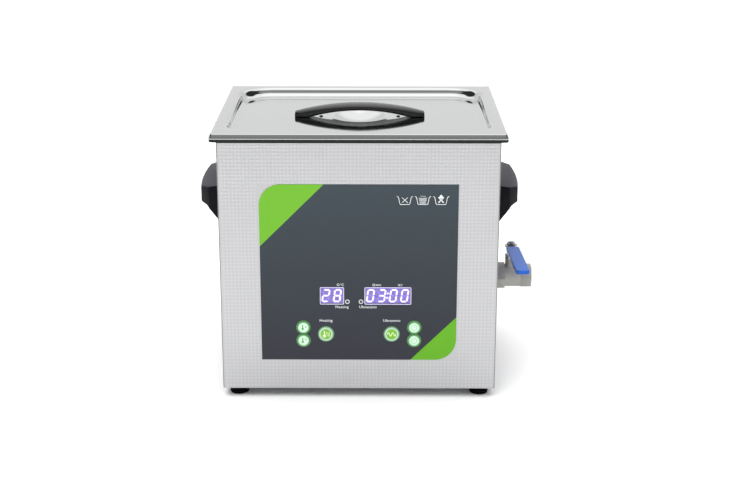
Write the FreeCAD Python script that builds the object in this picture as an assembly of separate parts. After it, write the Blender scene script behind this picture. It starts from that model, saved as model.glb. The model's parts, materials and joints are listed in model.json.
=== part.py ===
"""Bench-top ultrasonic cleaner with a ten litre tank, a lift-off lid and a drain valve.

Units are millimetres.  +Z is up, -Y is the control panel's side, and the object stands
on z = 0.  Everything is drawn about the middle of the case and then moved sideways by
ORIGIN_SHIFT, so that the origin is the middle of the whole footprint, with the side
handle on the left and the drain valve on the right both counted.
"""

import FreeCAD
import Part
import math
import os

# ---- driving dimensions ------------------------------------------------------------

# case
CASE_W = 325.0
CASE_D = 265.0
CASE_H = 301.0
FOOT_H = 12.0
SHEET = 1.0
FOLD_R = 2.5

# tank
TANK_W = 300.0
TANK_D = 240.0
TANK_DEPTH = 150.0
TANK_SHEET = 1.2
TANK_CORNER_R = 30.0
TANK_FLOOR_R = 14.0
TANK_MOUTH_R = 8.0
TANK_PAN_H = 4.4
FLANGE_W = 336.0
FLANGE_D = 276.0
GASKET_LAP = 2.0

# lid
LID_W = 341.0
LID_D = 281.0
LID_EDGE_H = 6.0
LID_EDGE_R = 4.5
LID_SHEET = 1.0
LID_RECESS_W = 302.0
LID_RECESS_D = 242.0
LID_RECESS_DEPTH = 10.0
LID_DISH_R = 31.0
LID_DISH_DEPTH = 9.0

# control panel
PANEL_W = 230.0
PANEL_Z0 = 49.0
PANEL_Z1 = 264.5
PANEL_T = 0.8
PANEL_CORNER_R = 25.0

# side handles
GRIP_HALF_L = 63.0
GRIP_REACH = 31.0
GRIP_Z0 = 192.0
GRIP_Z1 = 244.5

# drain valve
VALVE_Z = 110.5
STEM_X = 190.0
VALVE_END_X = 215.7
VALVE_THREAD_R = 9.3
LEVER_Z = 148.2
LEVER_L = 106.0
LEVER_LEAN = 2.5

# buttons: name, x, z, cap radius
SMALL_CAP_R = 7.0
LARGE_CAP_R = 9.0
BUTTON_TRAVEL = 0.5
BUTTONS = {
    "button_temp_up": (-65.4, 90.0, SMALL_CAP_R),
    "button_temp_down": (-65.4, 73.6, SMALL_CAP_R),
    "button_heating": (-38.8, 81.8, LARGE_CAP_R),
    "button_ultrasonic": (38.8, 81.8, LARGE_CAP_R),
    "button_time_up": (65.4, 90.0, SMALL_CAP_R),
    "button_time_down": (65.4, 73.6, SMALL_CAP_R),
}

# display windows: x range on the panel
WINDOW_Z0 = 119.1
WINDOW_Z1 = 139.7
WINDOWS = {"temp": (-45.2, -17.7), "timer": (7.1, 61.2)}
LEDS = ((-13.4, 122.2), (2.6, 122.2))
LED_R = 1.5

# transducers under the tank
HEAD_TOP_R = 29.0
HEAD_END_R = 21.0
HEAD_H = 24.0
RING_R = 19.0
RING_BORE = 7.5
RING_T = 5.0
TAIL_R = 19.5
TAIL_H = 25.0
BOLT_R = 4.0
TRANSDUCER_X = 75.0
TRANSDUCER_Y = 60.0

# rear fittings
FAN_X = -80.0
FAN_Z = 85.0
FAN_SIZE = 80.0
FAN_T = 25.0
FAN_PITCH = 71.5
INLET_X = 95.0
INLET_Z = 60.0
ROCKER_Z = 110.0
ROCKER_R = 12.3
ROCKER_TILT = 7.0
ROCKER_PIVOT_Y = 130.0

# ---- worked out from the driving dimensions ----------------------------------------

HALF_W = CASE_W / 2
HALF_D = CASE_D / 2
CASE_Z0 = FOOT_H
CASE_Z1 = FOOT_H + CASE_H
ORIGIN_SHIFT = -(VALVE_END_X - (HALF_W + GRIP_REACH)) / 2

FLANGE_Z1 = CASE_Z1 + 4.6
FLANGE_Z0 = FLANGE_Z1 - TANK_SHEET
TANK_FLOOR = FLANGE_Z1 - TANK_DEPTH
TANK_UNDER = TANK_FLOOR - TANK_SHEET
RIM_TOP = FLANGE_Z1 + 1.1

LID_EDGE_Z0 = RIM_TOP + 0.1
LID_TOP = LID_EDGE_Z0 + LID_EDGE_H
LID_FLOOR = LID_TOP - LID_RECESS_DEPTH
LID_UNDER = LID_FLOOR - LID_SHEET

FACE_Y = -HALF_D
PANEL_Y = FACE_Y - PANEL_T
BACK_Y = HALF_D
INNER_Y = FACE_Y + SHEET
BASE_T = 1.2
BASE_TOP = CASE_Z0 + BASE_T

BOARD_Y = -118.0
BOARD_T = 1.6
BOARD_X = 88.0
BOARD_Z0 = 62.0
BOARD_Z1 = 152.0
TACT_TIP_Y = BOARD_Y - 7.0

POWER_Z = BASE_TOP + 10.0
POWER_TOP = POWER_Z + BOARD_T
POWER_X0 = -70.0
POWER_X1 = 102.0
POWER_Y = 70.0

RING_Z1 = TANK_UNDER - HEAD_H
RING_Z0 = RING_Z1 - 2 * RING_T
TAIL_Z0 = RING_Z0 - TAIL_H

FOOT_X = 144.5
FOOT_Y = 113.0
FOOT_R = 11.25
RETURN_X = 150.0
PANEL_SCREW_X = 156.0
FIT = 0.05
FREE = 0.35

V = FreeCAD.Vector
X_AXIS = V(1, 0, 0)
Y_AXIS = V(0, 1, 0)
Z_AXIS = V(0, 0, 1)
ORIGIN = V(0, 0, 0)

# ---- drawing helpers ---------------------------------------------------------------


def box(x0, x1, y0, y1, z0, z1):
    """A block between two opposite corners."""
    return Part.makeBox(x1 - x0, y1 - y0, z1 - z0, V(x0, y0, z0))


def rod(r, start, axis, length):
    """A solid round bar."""
    return Part.makeCylinder(r, length, start, axis)


def washer(r, bore, start, axis, length):
    """A round bar with a hole through it."""
    return rod(r, start, axis, length).cut(rod(bore, start - axis, axis, length + 2))


def fuse(shapes):
    """One shape from several that touch or overlap."""
    shapes = list(shapes)
    if len(shapes) == 1:
        return shapes[0]
    return shapes[0].fuse(shapes[1:]).removeSplitter()


def group(shapes):
    """Several separate solids in one shape."""
    return Part.makeCompound(list(shapes))


def outline(points):
    """A closed face through points, which all lie in one plane."""
    return Part.Face(Part.makePolygon(list(points) + [points[0]]))


def rounded_wire(hx, hy, r, z):
    """A rectangle about the Z axis, with round corners."""
    k = r * (1 - math.sqrt(0.5))
    corners = ((1, 1), (-1, 1), (-1, -1), (1, -1))
    edges = []
    for i, (sx, sy) in enumerate(corners):
        on_x = V(sx * hx, sy * (hy - r), z)
        on_y = V(sx * (hx - r), sy * hy, z)
        start, end = (on_x, on_y) if i % 2 == 0 else (on_y, on_x)
        middle = V(sx * (hx - k), sy * (hy - k), z)
        edges.append(Part.Arc(start, middle, end).toShape())
    for i in range(4):
        here = edges[i].Vertexes[1].Point
        there = edges[(i + 1) % 4].Vertexes[0].Point
        edges.append(Part.makeLine(here, there))
    return Part.Wire(Part.sortEdges(edges)[0])


def slab(hx, hy, r, z0, z1):
    """A plate about the Z axis, with round upright corners."""
    return Part.Face(rounded_wire(hx, hy, r, z0)).extrude(V(0, 0, z1 - z0))


def frame_ring(hx, hy, r, width, z0, z1):
    """A flat picture frame about the Z axis, with round outer and inner corners."""
    inner_r = max(r - width, 0.5)
    return slab(hx, hy, r, z0, z1).cut(slab(hx - width, hy - width, inner_r, z0 - 1, z1 + 1))


def hexagon(across, start, axis, length, turn=0.0):
    """A hexagonal bar; across is the distance between two flats."""
    side = Part.makePolygon(
        [
            V(
                across / math.sqrt(3) * math.cos(math.radians(60 * i + turn)),
                across / math.sqrt(3) * math.sin(math.radians(60 * i + turn)),
                0,
            )
            for i in range(7)
        ]
    )
    bar = Part.Face(side).extrude(V(0, 0, length))
    bar.Placement = FreeCAD.Placement(start, FreeCAD.Rotation(Z_AXIS, axis))
    return bar


def panel_plate(x0, x1, z0, z1, r, y0, y1):
    """An upright plate that faces the front, with round corners."""
    plate = slab((x1 - x0) / 2, (z1 - z0) / 2, r, 0, y1 - y0)
    plate.rotate(ORIGIN, X_AXIS, 90)
    plate.translate(V((x0 + x1) / 2, y1, (z0 + z1) / 2))
    return plate


def tube_path(points, bend):
    """A wire of straight runs joined by tangent arcs."""
    edges = []
    last = points[0]
    for before, corner, after in zip(points, points[1:], points[2:]):
        back = (before - corner).normalize()
        ahead = (after - corner).normalize()
        half = back.getAngle(ahead) / 2
        reach = bend / math.tan(half)
        centre = corner + (back + ahead).normalize() * (bend / math.sin(half))
        start = corner + back * reach
        end = corner + ahead * reach
        middle = centre + (corner - centre).normalize() * bend
        edges.append(Part.makeLine(last, start))
        edges.append(Part.Arc(start, middle, end).toShape())
        last = end
    edges.append(Part.makeLine(last, points[-1]))
    return Part.Wire(edges)


def tube(points, bend, r):
    """A round cable or pipe along a bent route."""
    path = tube_path(points, bend)
    start = points[0]
    along = (points[1] - points[0]).normalize()
    ring = Part.Wire(Part.makeCircle(r, start, along))
    return path.makePipeShell([ring], True, False)


def edges_where(shape, test):
    """The edges whose middle point and length pass a test."""
    found = []
    for edge in shape.Edges:
        middle = edge.valueAt((edge.FirstParameter + edge.LastParameter) / 2)
        if test(middle, edge):
            found.append(edge)
    return found


def rounded(shape, r, test):
    """The shape with the edges that pass a test rounded."""
    return shape.makeFillet(r, edges_where(shape, test))


def level(z):
    """A test for edges that lie flat at one height."""

    def test(middle, edge):
        flat = all(abs(v.Point.z - z) < 1e-4 for v in edge.Vertexes)
        return flat and abs(middle.z - z) < 1e-4

    return test


def pan_screw(head_r, head_h, shank_r, length, seat, axis):
    """A round-headed screw; axis points from under the head to the tip."""
    head = rod(head_r, seat - axis * head_h, axis, head_h)
    crown = seat - axis * head_h
    head = rounded(head, head_h * 0.45, lambda m, e: abs((m - crown).dot(axis)) < 1e-4)
    slot = rod(shank_r * 0.55, crown - axis * 0.1, axis, head_h * 0.5)
    return fuse([head.cut(slot), rod(shank_r, seat, axis, length)])


def both_sides(shape):
    """A shape and its mirror image across the middle of the case."""
    return [shape, shape.mirror(ORIGIN, X_AXIS)]


# ---- the case ----------------------------------------------------------------------

GRIP_SCREWS = [(y, z) for y in (-42.0, 42.0) for z in (204.0, 232.0)]
GRIP_SCREW_R = 2.0
SIDE_SCREW_Y = (-90.0, 90.0)
REAR_SCREW_Z = (40.0, 165.0, 290.0)
SIDE_SCREW_Z = 19.0
CASE_SCREW_R = 1.6
DRAIN_R = 8.6
BOARD_POSTS = [(x, z) for x in (-80.0, 80.0) for z in (67.0, 147.0)]
FAN_HOLES = [(sx * FAN_PITCH / 2, sz * FAN_PITCH / 2) for sx in (-1, 1) for sz in (-1, 1)]


def window_hole(side, grow, y0, y1):
    """The opening for one display, grown on every side."""
    x0, x1 = WINDOWS[side]
    return panel_plate(
        x0 - grow, x1 + grow, WINDOW_Z0 - grow, WINDOW_Z1 + grow, 1.0, y0, y1
    )


def control_holes(grow, window_grow, y0, y1):
    """Cutters for the buttons, lamps and windows through the front."""
    cutters = [
        rod(r + grow, V(x, y0, z), Y_AXIS, y1 - y0) for x, z, r in BUTTONS.values()
    ]
    cutters += [rod(LED_R + 0.2, V(x, y0, z), Y_AXIS, y1 - y0) for x, z in LEDS]
    cutters += [window_hole(side, window_grow, y0, y1) for side in WINDOWS]
    return cutters


def housing_wrap():
    """Front and both sides in one folded sheet, with a top rim and rear returns."""
    middle = (INNER_Y + BACK_Y) / 2 - SHEET
    half = HALF_D - SHEET / 2
    outer = slab(HALF_W, half, FOLD_R, CASE_Z0, CASE_Z1)
    hollow = slab(HALF_W - SHEET, half - SHEET, FOLD_R - SHEET, CASE_Z0 - 1, CASE_Z1 - SHEET)
    mouth = slab(HALF_W - 8, half - 8, 3.0, CASE_Z0, CASE_Z1 + 1)
    shell = outer.cut([hollow, mouth])
    shell.translate(V(0, middle, 0))
    cutters = [box(-RETURN_X, RETURN_X, BACK_Y - 12, BACK_Y, CASE_Z0 - 1, CASE_Z1 + 1)]
    cutters += control_holes(FREE, -0.5, FACE_Y - 1, FACE_Y + 2)
    wall = V(HALF_W - 3, 0, 0)
    cutters.append(rod(DRAIN_R, V(HALF_W - 3, 0, VALVE_Z), X_AXIS, 6))
    for y, z in GRIP_SCREWS:
        cutters += both_sides(rod(GRIP_SCREW_R, V(wall.x, y, z), X_AXIS, 6))
    for y in SIDE_SCREW_Y:
        cutters += both_sides(rod(CASE_SCREW_R, V(wall.x, y, SIDE_SCREW_Z), X_AXIS, 6))
    for z in REAR_SCREW_Z:
        cutters += both_sides(rod(CASE_SCREW_R, V(PANEL_SCREW_X, BACK_Y - 5, z), Y_AXIS, 6))
    return shell.cut(cutters)


def rear_panel():
    """Flat sheet screwed to the wrap's returns, cut for the fan, inlet and switch."""
    edge = HALF_W - 0.3
    sheet = box(-edge, edge, BACK_Y - SHEET, BACK_Y, CASE_Z0 + 0.2, CASE_Z1 - 0.2)
    lip = box(-140, 140, BACK_Y - 9, BACK_Y, CASE_Z1 - 0.2 - SHEET, CASE_Z1 - 0.2)
    back = V(0, BACK_Y - 3, 0)
    cutters = [rod(37.5, V(FAN_X, back.y, FAN_Z), Y_AXIS, 6)]
    cutters += [
        rod(2.1, V(FAN_X + dx, back.y, FAN_Z + dz), Y_AXIS, 6) for dx, dz in FAN_HOLES
    ]
    cutters.append(box(INLET_X - 14, INLET_X + 14, back.y, BACK_Y + 3, INLET_Z - 18, INLET_Z + 14))
    cutters.append(box(INLET_X - 11, INLET_X + 11, back.y, BACK_Y + 3, ROCKER_Z - 14, ROCKER_Z + 14))
    for x in (INLET_X - 20, INLET_X + 20):
        cutters.append(rod(CASE_SCREW_R, V(x, back.y, INLET_Z), Y_AXIS, 6))
    for z in REAR_SCREW_Z:
        cutters += both_sides(rod(CASE_SCREW_R, V(PANEL_SCREW_X, back.y, z), Y_AXIS, 6))
    return fuse([sheet, lip]).cut(cutters)


def base_plate():
    """Floor tray with turned-up edges and rows of air slots."""
    half_w = HALF_W - SHEET - 0.1
    front = INNER_Y + 0.1
    rear = BACK_Y - 2 * SHEET - 0.1
    lip = 14.0
    floor = slab(half_w, (rear - front) / 2, 2.0, CASE_Z0, BASE_TOP)
    floor.translate(V(0, (rear + front) / 2, 0))
    sides = both_sides(box(half_w - BASE_T, half_w, front + 3, rear - 3, CASE_Z0, CASE_Z0 + lip))
    ends = [
        box(-half_w + 3, half_w - 3, front, front + BASE_T, CASE_Z0, CASE_Z0 + lip),
        box(-half_w + 14, half_w - 14, rear - BASE_T, rear, CASE_Z0, CASE_Z0 + lip),
    ]
    cutters = []
    for y in (-95.0, 95.0):
        for i in range(9):
            x = -96.0 + 24.0 * i
            cutters.append(slab(2.0, 14.0, 1.9, CASE_Z0 - 1, BASE_TOP + 1).translated(V(x, y, 0)))
    for x, y in foot_places():
        cutters.append(rod(2.0, V(x, y, CASE_Z0 - 1), Z_AXIS, 4))
    for x, y in POWER_POSTS:
        cutters.append(rod(CASE_SCREW_R, V(x, y, CASE_Z0 - 1), Z_AXIS, 4))
    for y in SIDE_SCREW_Y:
        cutters += both_sides(rod(CASE_SCREW_R, V(half_w - 3, y, SIDE_SCREW_Z), X_AXIS, 6))
    return fuse([floor] + sides + ends).cut(cutters)


def foot_places():
    """Centres of the four feet."""
    return [(sx * FOOT_X, sy * FOOT_Y) for sx in (-1, 1) for sy in (-1, 1)]


def feet():
    """Four round rubber feet, each with a screw recess from below."""
    shapes = []
    for x, y in foot_places():
        foot = rounded(rod(FOOT_R, V(x, y, 0), Z_AXIS, FOOT_H), 2.2, level(0.0))
        recess = rod(5.0, V(x, y, -1), Z_AXIS, 6)
        shapes.append(foot.cut([recess, rod(2.0, V(x, y, 0), Z_AXIS, FOOT_H + 1)]))
    return group(shapes)


def foot_screws():
    """Screws up through the feet into the base, each with a nut on top."""
    shapes = []
    for x, y in foot_places():
        screw = pan_screw(4.2, 2.4, 2.0, 14.0, V(x, y, 5.0), Z_AXIS)
        nut = hexagon(7.0, V(x, y, BASE_TOP), Z_AXIS, 3.2)
        shapes.append(fuse([screw, nut]))
    return group(shapes)


def case_screws():
    """Screws of the rear panel, the lower side edges and the mains inlet."""
    shapes = []
    for z in REAR_SCREW_Z:
        screw = pan_screw(3.4, 2.0, CASE_SCREW_R, 7.0, V(PANEL_SCREW_X, BACK_Y, z), -Y_AXIS)
        shapes += both_sides(screw)
    for y in SIDE_SCREW_Y:
        screw = pan_screw(3.4, 2.0, CASE_SCREW_R, 7.0, V(HALF_W, y, SIDE_SCREW_Z), -X_AXIS)
        shapes += both_sides(screw)
    for x in (INLET_X - 20, INLET_X + 20):
        shapes.append(pan_screw(3.0, 1.8, CASE_SCREW_R, 7.0, V(x, BACK_Y + 1.6, INLET_Z), -Y_AXIS))
    return group(shapes)


# ---- the tank and what is under it -------------------------------------------------

SPUD_X = 118.0
SPUD_R = 12.0


def tank_pressing():
    """Deep-drawn tank with a flat flange and a rounded mouth."""
    hx = TANK_W / 2
    hy = TANK_D / 2
    t = TANK_SHEET
    flange = slab(FLANGE_W / 2, FLANGE_D / 2, 4.0, FLANGE_Z0, FLANGE_Z1)
    outer = slab(hx + t, hy + t, TANK_CORNER_R + t, TANK_UNDER, FLANGE_Z0)
    outer = rounded(outer, TANK_FLOOR_R + t, level(TANK_UNDER))
    body = fuse([outer, flange])

    def under_flange(middle, edge):
        inside = abs(middle.x) < hx + 3 and abs(middle.y) < hy + 3
        return level(FLANGE_Z0)(middle, edge) and inside

    body = rounded(body, TANK_MOUTH_R - t, under_flange)
    hollow = slab(hx, hy, TANK_CORNER_R, TANK_FLOOR, FLANGE_Z1)
    hollow = rounded(hollow, TANK_FLOOR_R, level(TANK_FLOOR))
    body = body.cut(hollow)

    def mouth(middle, edge):
        inside = abs(middle.x) < hx + 3 and abs(middle.y) < hy + 3
        return level(FLANGE_Z1)(middle, edge) and inside

    body = rounded(body, TANK_MOUTH_R, mouth)
    return body.cut(rod(SPUD_R, V(SPUD_X, 0, TANK_UNDER - 1), Z_AXIS, 5))


def mitred(shape, z0, z1):
    """What lies between two heights, parted in four through the tank's corners."""
    apex = (TANK_W - TANK_D) / 2
    reach = FLANGE_W
    right = outline([V(apex, 0, z0), V(apex + reach, -reach, z0), V(apex + reach, reach, z0)])
    back = outline(
        [
            V(-apex, 0, z0),
            V(apex, 0, z0),
            V(apex + reach, reach, z0),
            V(-apex - reach, reach, z0),
        ]
    )
    quarters = []
    for face in (right, back):
        wedge = face.extrude(V(0, 0, z1 - z0))
        opposite = wedge.copy()
        opposite.rotate(ORIGIN, Z_AXIS, 180)
        quarters += [shape.common(wedge), shape.common(opposite)]
    return quarters


def tank():
    """The tank's one pressing, as a pan, four coved strips and four walls that meet.

    Parted this way, no part of it bends around the hollow.
    """
    pressing = tank_pressing()
    cove = TANK_FLOOR + TANK_PAN_H
    wall = TANK_FLOOR + TANK_FLOOR_R
    pan = pressing.common(slab(FLANGE_W, FLANGE_W, 1.0, TANK_UNDER - 1, cove))
    strips = mitred(pressing, cove, wall)
    walls = mitred(pressing, wall, FLANGE_Z1 + 1)
    return group(part for shape in [pan] + strips + walls for part in shape.Solids)


def rim_gasket():
    """Black rubber edging between the case, the tank's flange and the lid."""
    foot = frame_ring(163.0, 133.0, 4.0, 4.5, CASE_Z1, FLANGE_Z0)
    hx = FLANGE_W / 2 + GASKET_LAP
    hy = FLANGE_D / 2 + GASKET_LAP
    edge = frame_ring(hx, hy, 5.0, 7.5, FLANGE_Z0 - 1.0, RIM_TOP)
    top = frame_ring(hx, hy, 5.0, 9.0, FLANGE_Z1, RIM_TOP)
    flange = slab(FLANGE_W / 2, FLANGE_D / 2, 4.0, FLANGE_Z0, FLANGE_Z1)
    return fuse([foot, edge, top]).cut(flange)


def drain_spud():
    """Welded drain socket in the tank's floor, with a cross over its mouth."""
    rim = rod(17.0, V(SPUD_X, 0, TANK_FLOOR), Z_AXIS, 1.6)
    neck = rod(SPUD_R, V(SPUD_X, 0, TANK_FLOOR - 20), Z_AXIS, 20)
    bore = rod(9.0, V(SPUD_X, 0, TANK_FLOOR - 21), Z_AXIS, 30)
    cross = [
        box(SPUD_X - 9.5, SPUD_X + 9.5, -1, 1, TANK_FLOOR - 2, TANK_FLOOR),
        box(SPUD_X - 1, SPUD_X + 1, -9.5, 9.5, TANK_FLOOR - 2, TANK_FLOOR),
    ]
    return fuse([fuse([rim, neck]).cut(bore)] + cross)


def drain_elbow():
    """Bent pipe from the tank's drain out through the right wall into the valve."""
    top = V(SPUD_X, 0, TANK_FLOOR - 20)
    corner = V(SPUD_X, 0, VALVE_Z)
    end = V(HALF_W + 15.0, 0, VALVE_Z)
    bend = 22.0
    return tube([top, corner, end], bend, DRAIN_R).cut(
        tube([top + Z_AXIS, corner, end + X_AXIS], bend, 7.0)
    )


def transducer_places():
    """Centres of the four transducers."""
    return [(sx * TRANSDUCER_X, sy * TRANSDUCER_Y) for sx in (-1, 1) for sy in (-1, 1)]


def transducer_heads():
    """Aluminium horns glued to the underside of the tank."""
    shapes = []
    for x, y in transducer_places():
        horn = Part.makeCone(HEAD_END_R, HEAD_TOP_R, HEAD_H, V(x, y, RING_Z1), Z_AXIS)
        shapes.append(horn.cut(rod(BOLT_R, V(x, y, RING_Z1 - 1), Z_AXIS, 15)))
    return group(shapes)


def piezo_rings():
    """Two ceramic rings under each horn."""
    shapes = []
    for x, y in transducer_places():
        for i in range(2):
            start = V(x, y, RING_Z0 + i * RING_T)
            shapes.append(washer(RING_R, RING_BORE, start, Z_AXIS, RING_T))
    return group(shapes)


def transducer_tails():
    """Steel back masses."""
    shapes = []
    for x, y in transducer_places():
        tail = washer(TAIL_R, BOLT_R, V(x, y, TAIL_Z0), Z_AXIS, TAIL_H)
        shapes.append(tail)
    return group(shapes)


def transducer_bolts():
    """Socket-head bolts that clamp each stack."""
    shapes = []
    for x, y in transducer_places():
        shank = rod(BOLT_R, V(x, y, TAIL_Z0), Z_AXIS, RING_Z1 + 14 - TAIL_Z0)
        head = rod(6.5, V(x, y, TAIL_Z0 - 8), Z_AXIS, 8)
        socket = hexagon(6.0, V(x, y, TAIL_Z0 - 8.5), Z_AXIS, 4.5)
        shapes.append(fuse([shank, head]).cut(socket))
    return group(shapes)


def heater_pads():
    """Flat silicone heaters on the front and back walls of the tank."""
    wall = TANK_D / 2 + TANK_SHEET
    return group(
        [
            panel_plate(-100, 100, 195, 285, 4.0, -wall - 2.4, -wall),
            panel_plate(-100, 100, 195, 285, 4.0, wall, wall + 2.4),
        ]
    )


def thermal_cutout():
    """Round thermostat under the middle of the tank, with two tabs."""
    cup = rod(9.0, V(0, 0, TANK_UNDER - 11), Z_AXIS, 11)
    plate = box(-17, 17, -5, 5, TANK_UNDER - 1, TANK_UNDER)
    tabs = [box(x - 0.4, x + 0.4, -3, 3, TANK_UNDER - 20, TANK_UNDER - 10) for x in (-5, 5)]
    return fuse([cup, plate] + tabs)


# ---- the drain valve ---------------------------------------------------------------

BALL_R = 10.5
PORT_R = 7.0
SEAT_R = 9.6
STEM_R = 3.5
BODY_X0 = HALF_W + 8.0
END_X0 = 202.0


def valve_point(x):
    """A point on the valve's axis."""
    return V(x, 0, VALVE_Z)


def bulkhead_nut():
    """Nut that holds the drain pipe in the side wall."""
    nut = hexagon(32.0, valve_point(HALF_W), X_AXIS, 7.0, 30.0)
    return nut.cut(rod(DRAIN_R, valve_point(HALF_W - 1), X_AXIS, 9))


def valve_body():
    """Stainless valve body: hexagonal inlet, round middle and a boss for the stem."""
    inlet = hexagon(29.0, valve_point(BODY_X0), X_AXIS, 12.0, 30.0)
    middle = rod(14.2, valve_point(BODY_X0 + 11), X_AXIS, END_X0 - BODY_X0 - 11)
    boss = rod(7.0, V(STEM_X, 0, VALVE_Z + 8), Z_AXIS, 14.5)
    cutters = [
        rod(DRAIN_R + FIT, valve_point(BODY_X0 - 1), X_AXIS, 8.4),
        rod(PORT_R, valve_point(BODY_X0), X_AXIS, 10),
        rod(SEAT_R + FIT, valve_point(STEM_X - 11.5), X_AXIS, 11.5),
        rod(BALL_R + 0.5, valve_point(STEM_X), X_AXIS, 20),
        Part.makeSphere(BALL_R + 0.5, valve_point(STEM_X)),
        rod(STEM_R + FIT, valve_point(STEM_X), Z_AXIS, 30),
    ]
    return fuse([inlet, middle, boss]).cut(cutters)


def valve_end():
    """Threaded end piece screwed into the body; a hose tail screws into its mouth."""
    spigot = rod(BALL_R + 0.4, valve_point(STEM_X + 7.5), X_AXIS, 6)
    collar = hexagon(26.0, valve_point(END_X0), X_AXIS, VALVE_END_X - END_X0, 30.0)
    cutters = [
        rod(SEAT_R + FIT, valve_point(STEM_X + 7), X_AXIS, 4.55),
        rod(PORT_R, valve_point(STEM_X), X_AXIS, 20),
        rod(VALVE_THREAD_R, valve_point(VALVE_END_X - 12.0), X_AXIS, 13),
    ]
    return fuse([spigot, collar]).cut(cutters)


def valve_seats():
    """Two white seat rings that the ball turns in."""
    ball = Part.makeSphere(BALL_R + FIT, valve_point(STEM_X))
    rings = []
    for x in (STEM_X - 11.5, STEM_X + 7.0):
        rings.append(washer(SEAT_R, PORT_R + 0.2, valve_point(x), X_AXIS, 4.5).cut(ball))
    return group(rings)


def gland_nut():
    """Packing nut around the stem, on top of the boss."""
    nut = hexagon(13.0, V(STEM_X, 0, VALVE_Z + 22.5), Z_AXIS, 6.0)
    return nut.cut(rod(STEM_R + FIT, V(STEM_X, 0, VALVE_Z + 20), Z_AXIS, 12))


def tongue(grow):
    """The flat end of the stem, which turns the ball."""
    top = VALVE_Z + BALL_R + 0.3
    return box(
        STEM_X - 2.8, STEM_X + 2.8, -1.5 - grow, 1.5 + grow, VALVE_Z + 7.4 - grow, top
    )


def valve_ball():
    """Ball with its port turned across the pipe while the valve is shut."""
    ball = Part.makeSphere(BALL_R, valve_point(STEM_X))
    port = rod(6.5, V(STEM_X, -15, VALVE_Z), Y_AXIS, 30)
    return ball.cut([port, tongue(FIT)])


def valve_stem():
    """Stem from the ball up through the boss to the lever."""
    start = VALVE_Z + BALL_R + 0.25
    shank = rod(STEM_R, V(STEM_X, 0, start), Z_AXIS, LEVER_Z - start)
    top = rod(2.6, V(STEM_X, 0, LEVER_Z), Z_AXIS, 6.8)
    return fuse([tongue(0.0), shank, top])


def leaned(shape):
    """A lever part turned to its resting lean about the stem."""
    turned = shape.copy()
    turned.rotate(V(STEM_X, 0, 0), Z_AXIS, LEVER_LEAN)
    return turned


def valve_lever():
    """Flat steel lever with a round hub."""
    hub = rod(8.0, V(STEM_X, 0, LEVER_Z), Z_AXIS, 2.4)
    blade = box(STEM_X - 5.5, STEM_X + 5.5, -LEVER_L + 4, 0, LEVER_Z, LEVER_Z + 2.4)
    return leaned(fuse([hub, blade]).cut(rod(2.6, V(STEM_X, 0, LEVER_Z - 1), Z_AXIS, 5)))


def lever_grip():
    """Soft sleeve pushed onto the lever."""
    sleeve = box(STEM_X - 8.2, STEM_X + 8.2, -LEVER_L, -12, LEVER_Z - 1.3, LEVER_Z + 3.7)

    def upright(middle, edge):
        return abs(edge.Vertexes[0].Point.z - edge.Vertexes[-1].Point.z) > 4

    sleeve = rounded(sleeve, 3.0, upright)
    sleeve = rounded(sleeve, 1.0, lambda m, e: level(LEVER_Z + 3.7)(m, e) or level(LEVER_Z - 1.3)(m, e))
    slot = box(STEM_X - 5.5, STEM_X + 5.5, -LEVER_L + 4, 0, LEVER_Z, LEVER_Z + 2.4)
    return leaned(sleeve.cut(slot))


def lever_nut():
    """Hexagon nut on top of the stem."""
    nut = hexagon(9.0, V(STEM_X, 0, LEVER_Z + 2.4), Z_AXIS, 3.6)
    return nut.cut(rod(2.6, V(STEM_X, 0, LEVER_Z), Z_AXIS, 8))


# ---- the control panel -------------------------------------------------------------


def control_overlay():
    """Front panel sheet: two opposite corners are round and two are square."""
    half = PANEL_W / 2
    sheet = box(-half, half, PANEL_Y, FACE_Y, PANEL_Z0, PANEL_Z1)

    def big_corner(middle, edge):
        upright = abs(middle.y - (PANEL_Y + FACE_Y) / 2) < 1e-4
        upper_left = middle.x < 0 and middle.z > 200
        lower_right = middle.x > 0 and middle.z < 100
        return upright and (upper_left or lower_right)

    sheet = rounded(sheet, PANEL_CORNER_R, big_corner)
    return sheet.cut(control_holes(FREE, 0.0, PANEL_Y - 1, FACE_Y + 1))


def display_windows():
    """Two clear windows, flush with the panel."""
    return group([window_hole(side, -0.05, PANEL_Y + 0.1, FACE_Y) for side in WINDOWS])


def display_modules():
    """Two numeric display modules on the control board, close behind the windows."""
    return group([window_hole(side, -0.9, FACE_Y + 0.3, BOARD_Y) for side in WINDOWS])


def indicator_leds():
    """Two indicator lamps with domed ends."""
    shapes = []
    for x, z in LEDS:
        stem = rod(LED_R, V(x, PANEL_Y + 0.9, z), Y_AXIS, BOARD_Y - PANEL_Y - 0.9)
        dome = Part.makeSphere(LED_R, V(x, PANEL_Y + 0.9, z))
        shapes.append(fuse([stem, dome]))
    return group(shapes)


def button(name):
    """A push button: cap, retaining rim behind the sheet, and a stem to its switch."""
    x, z, r = BUTTONS[name]
    front = PANEL_Y - 1.2
    rim_y = INNER_Y + 0.1
    cap = rod(r, V(x, front, z), Y_AXIS, rim_y + 1.0 - front)
    cap = rounded(cap, 0.6, lambda m, e: abs(m.y - front) < 1e-4)
    rim = rod(r + 0.9, V(x, rim_y, z), Y_AXIS, 1.0)
    stem_end = TACT_TIP_Y - BUTTON_TRAVEL - 0.1
    stem = rod(2.2, V(x, rim_y, z), Y_AXIS, stem_end - rim_y)
    return fuse([cap, rim, stem])


def control_board():
    """Upright circuit board behind the panel."""
    board = box(-BOARD_X, BOARD_X, BOARD_Y, BOARD_Y + BOARD_T, BOARD_Z0, BOARD_Z1)
    return board.cut([rod(CASE_SCREW_R, V(x, BOARD_Y - 1, z), Y_AXIS, 5) for x, z in BOARD_POSTS])


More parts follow.
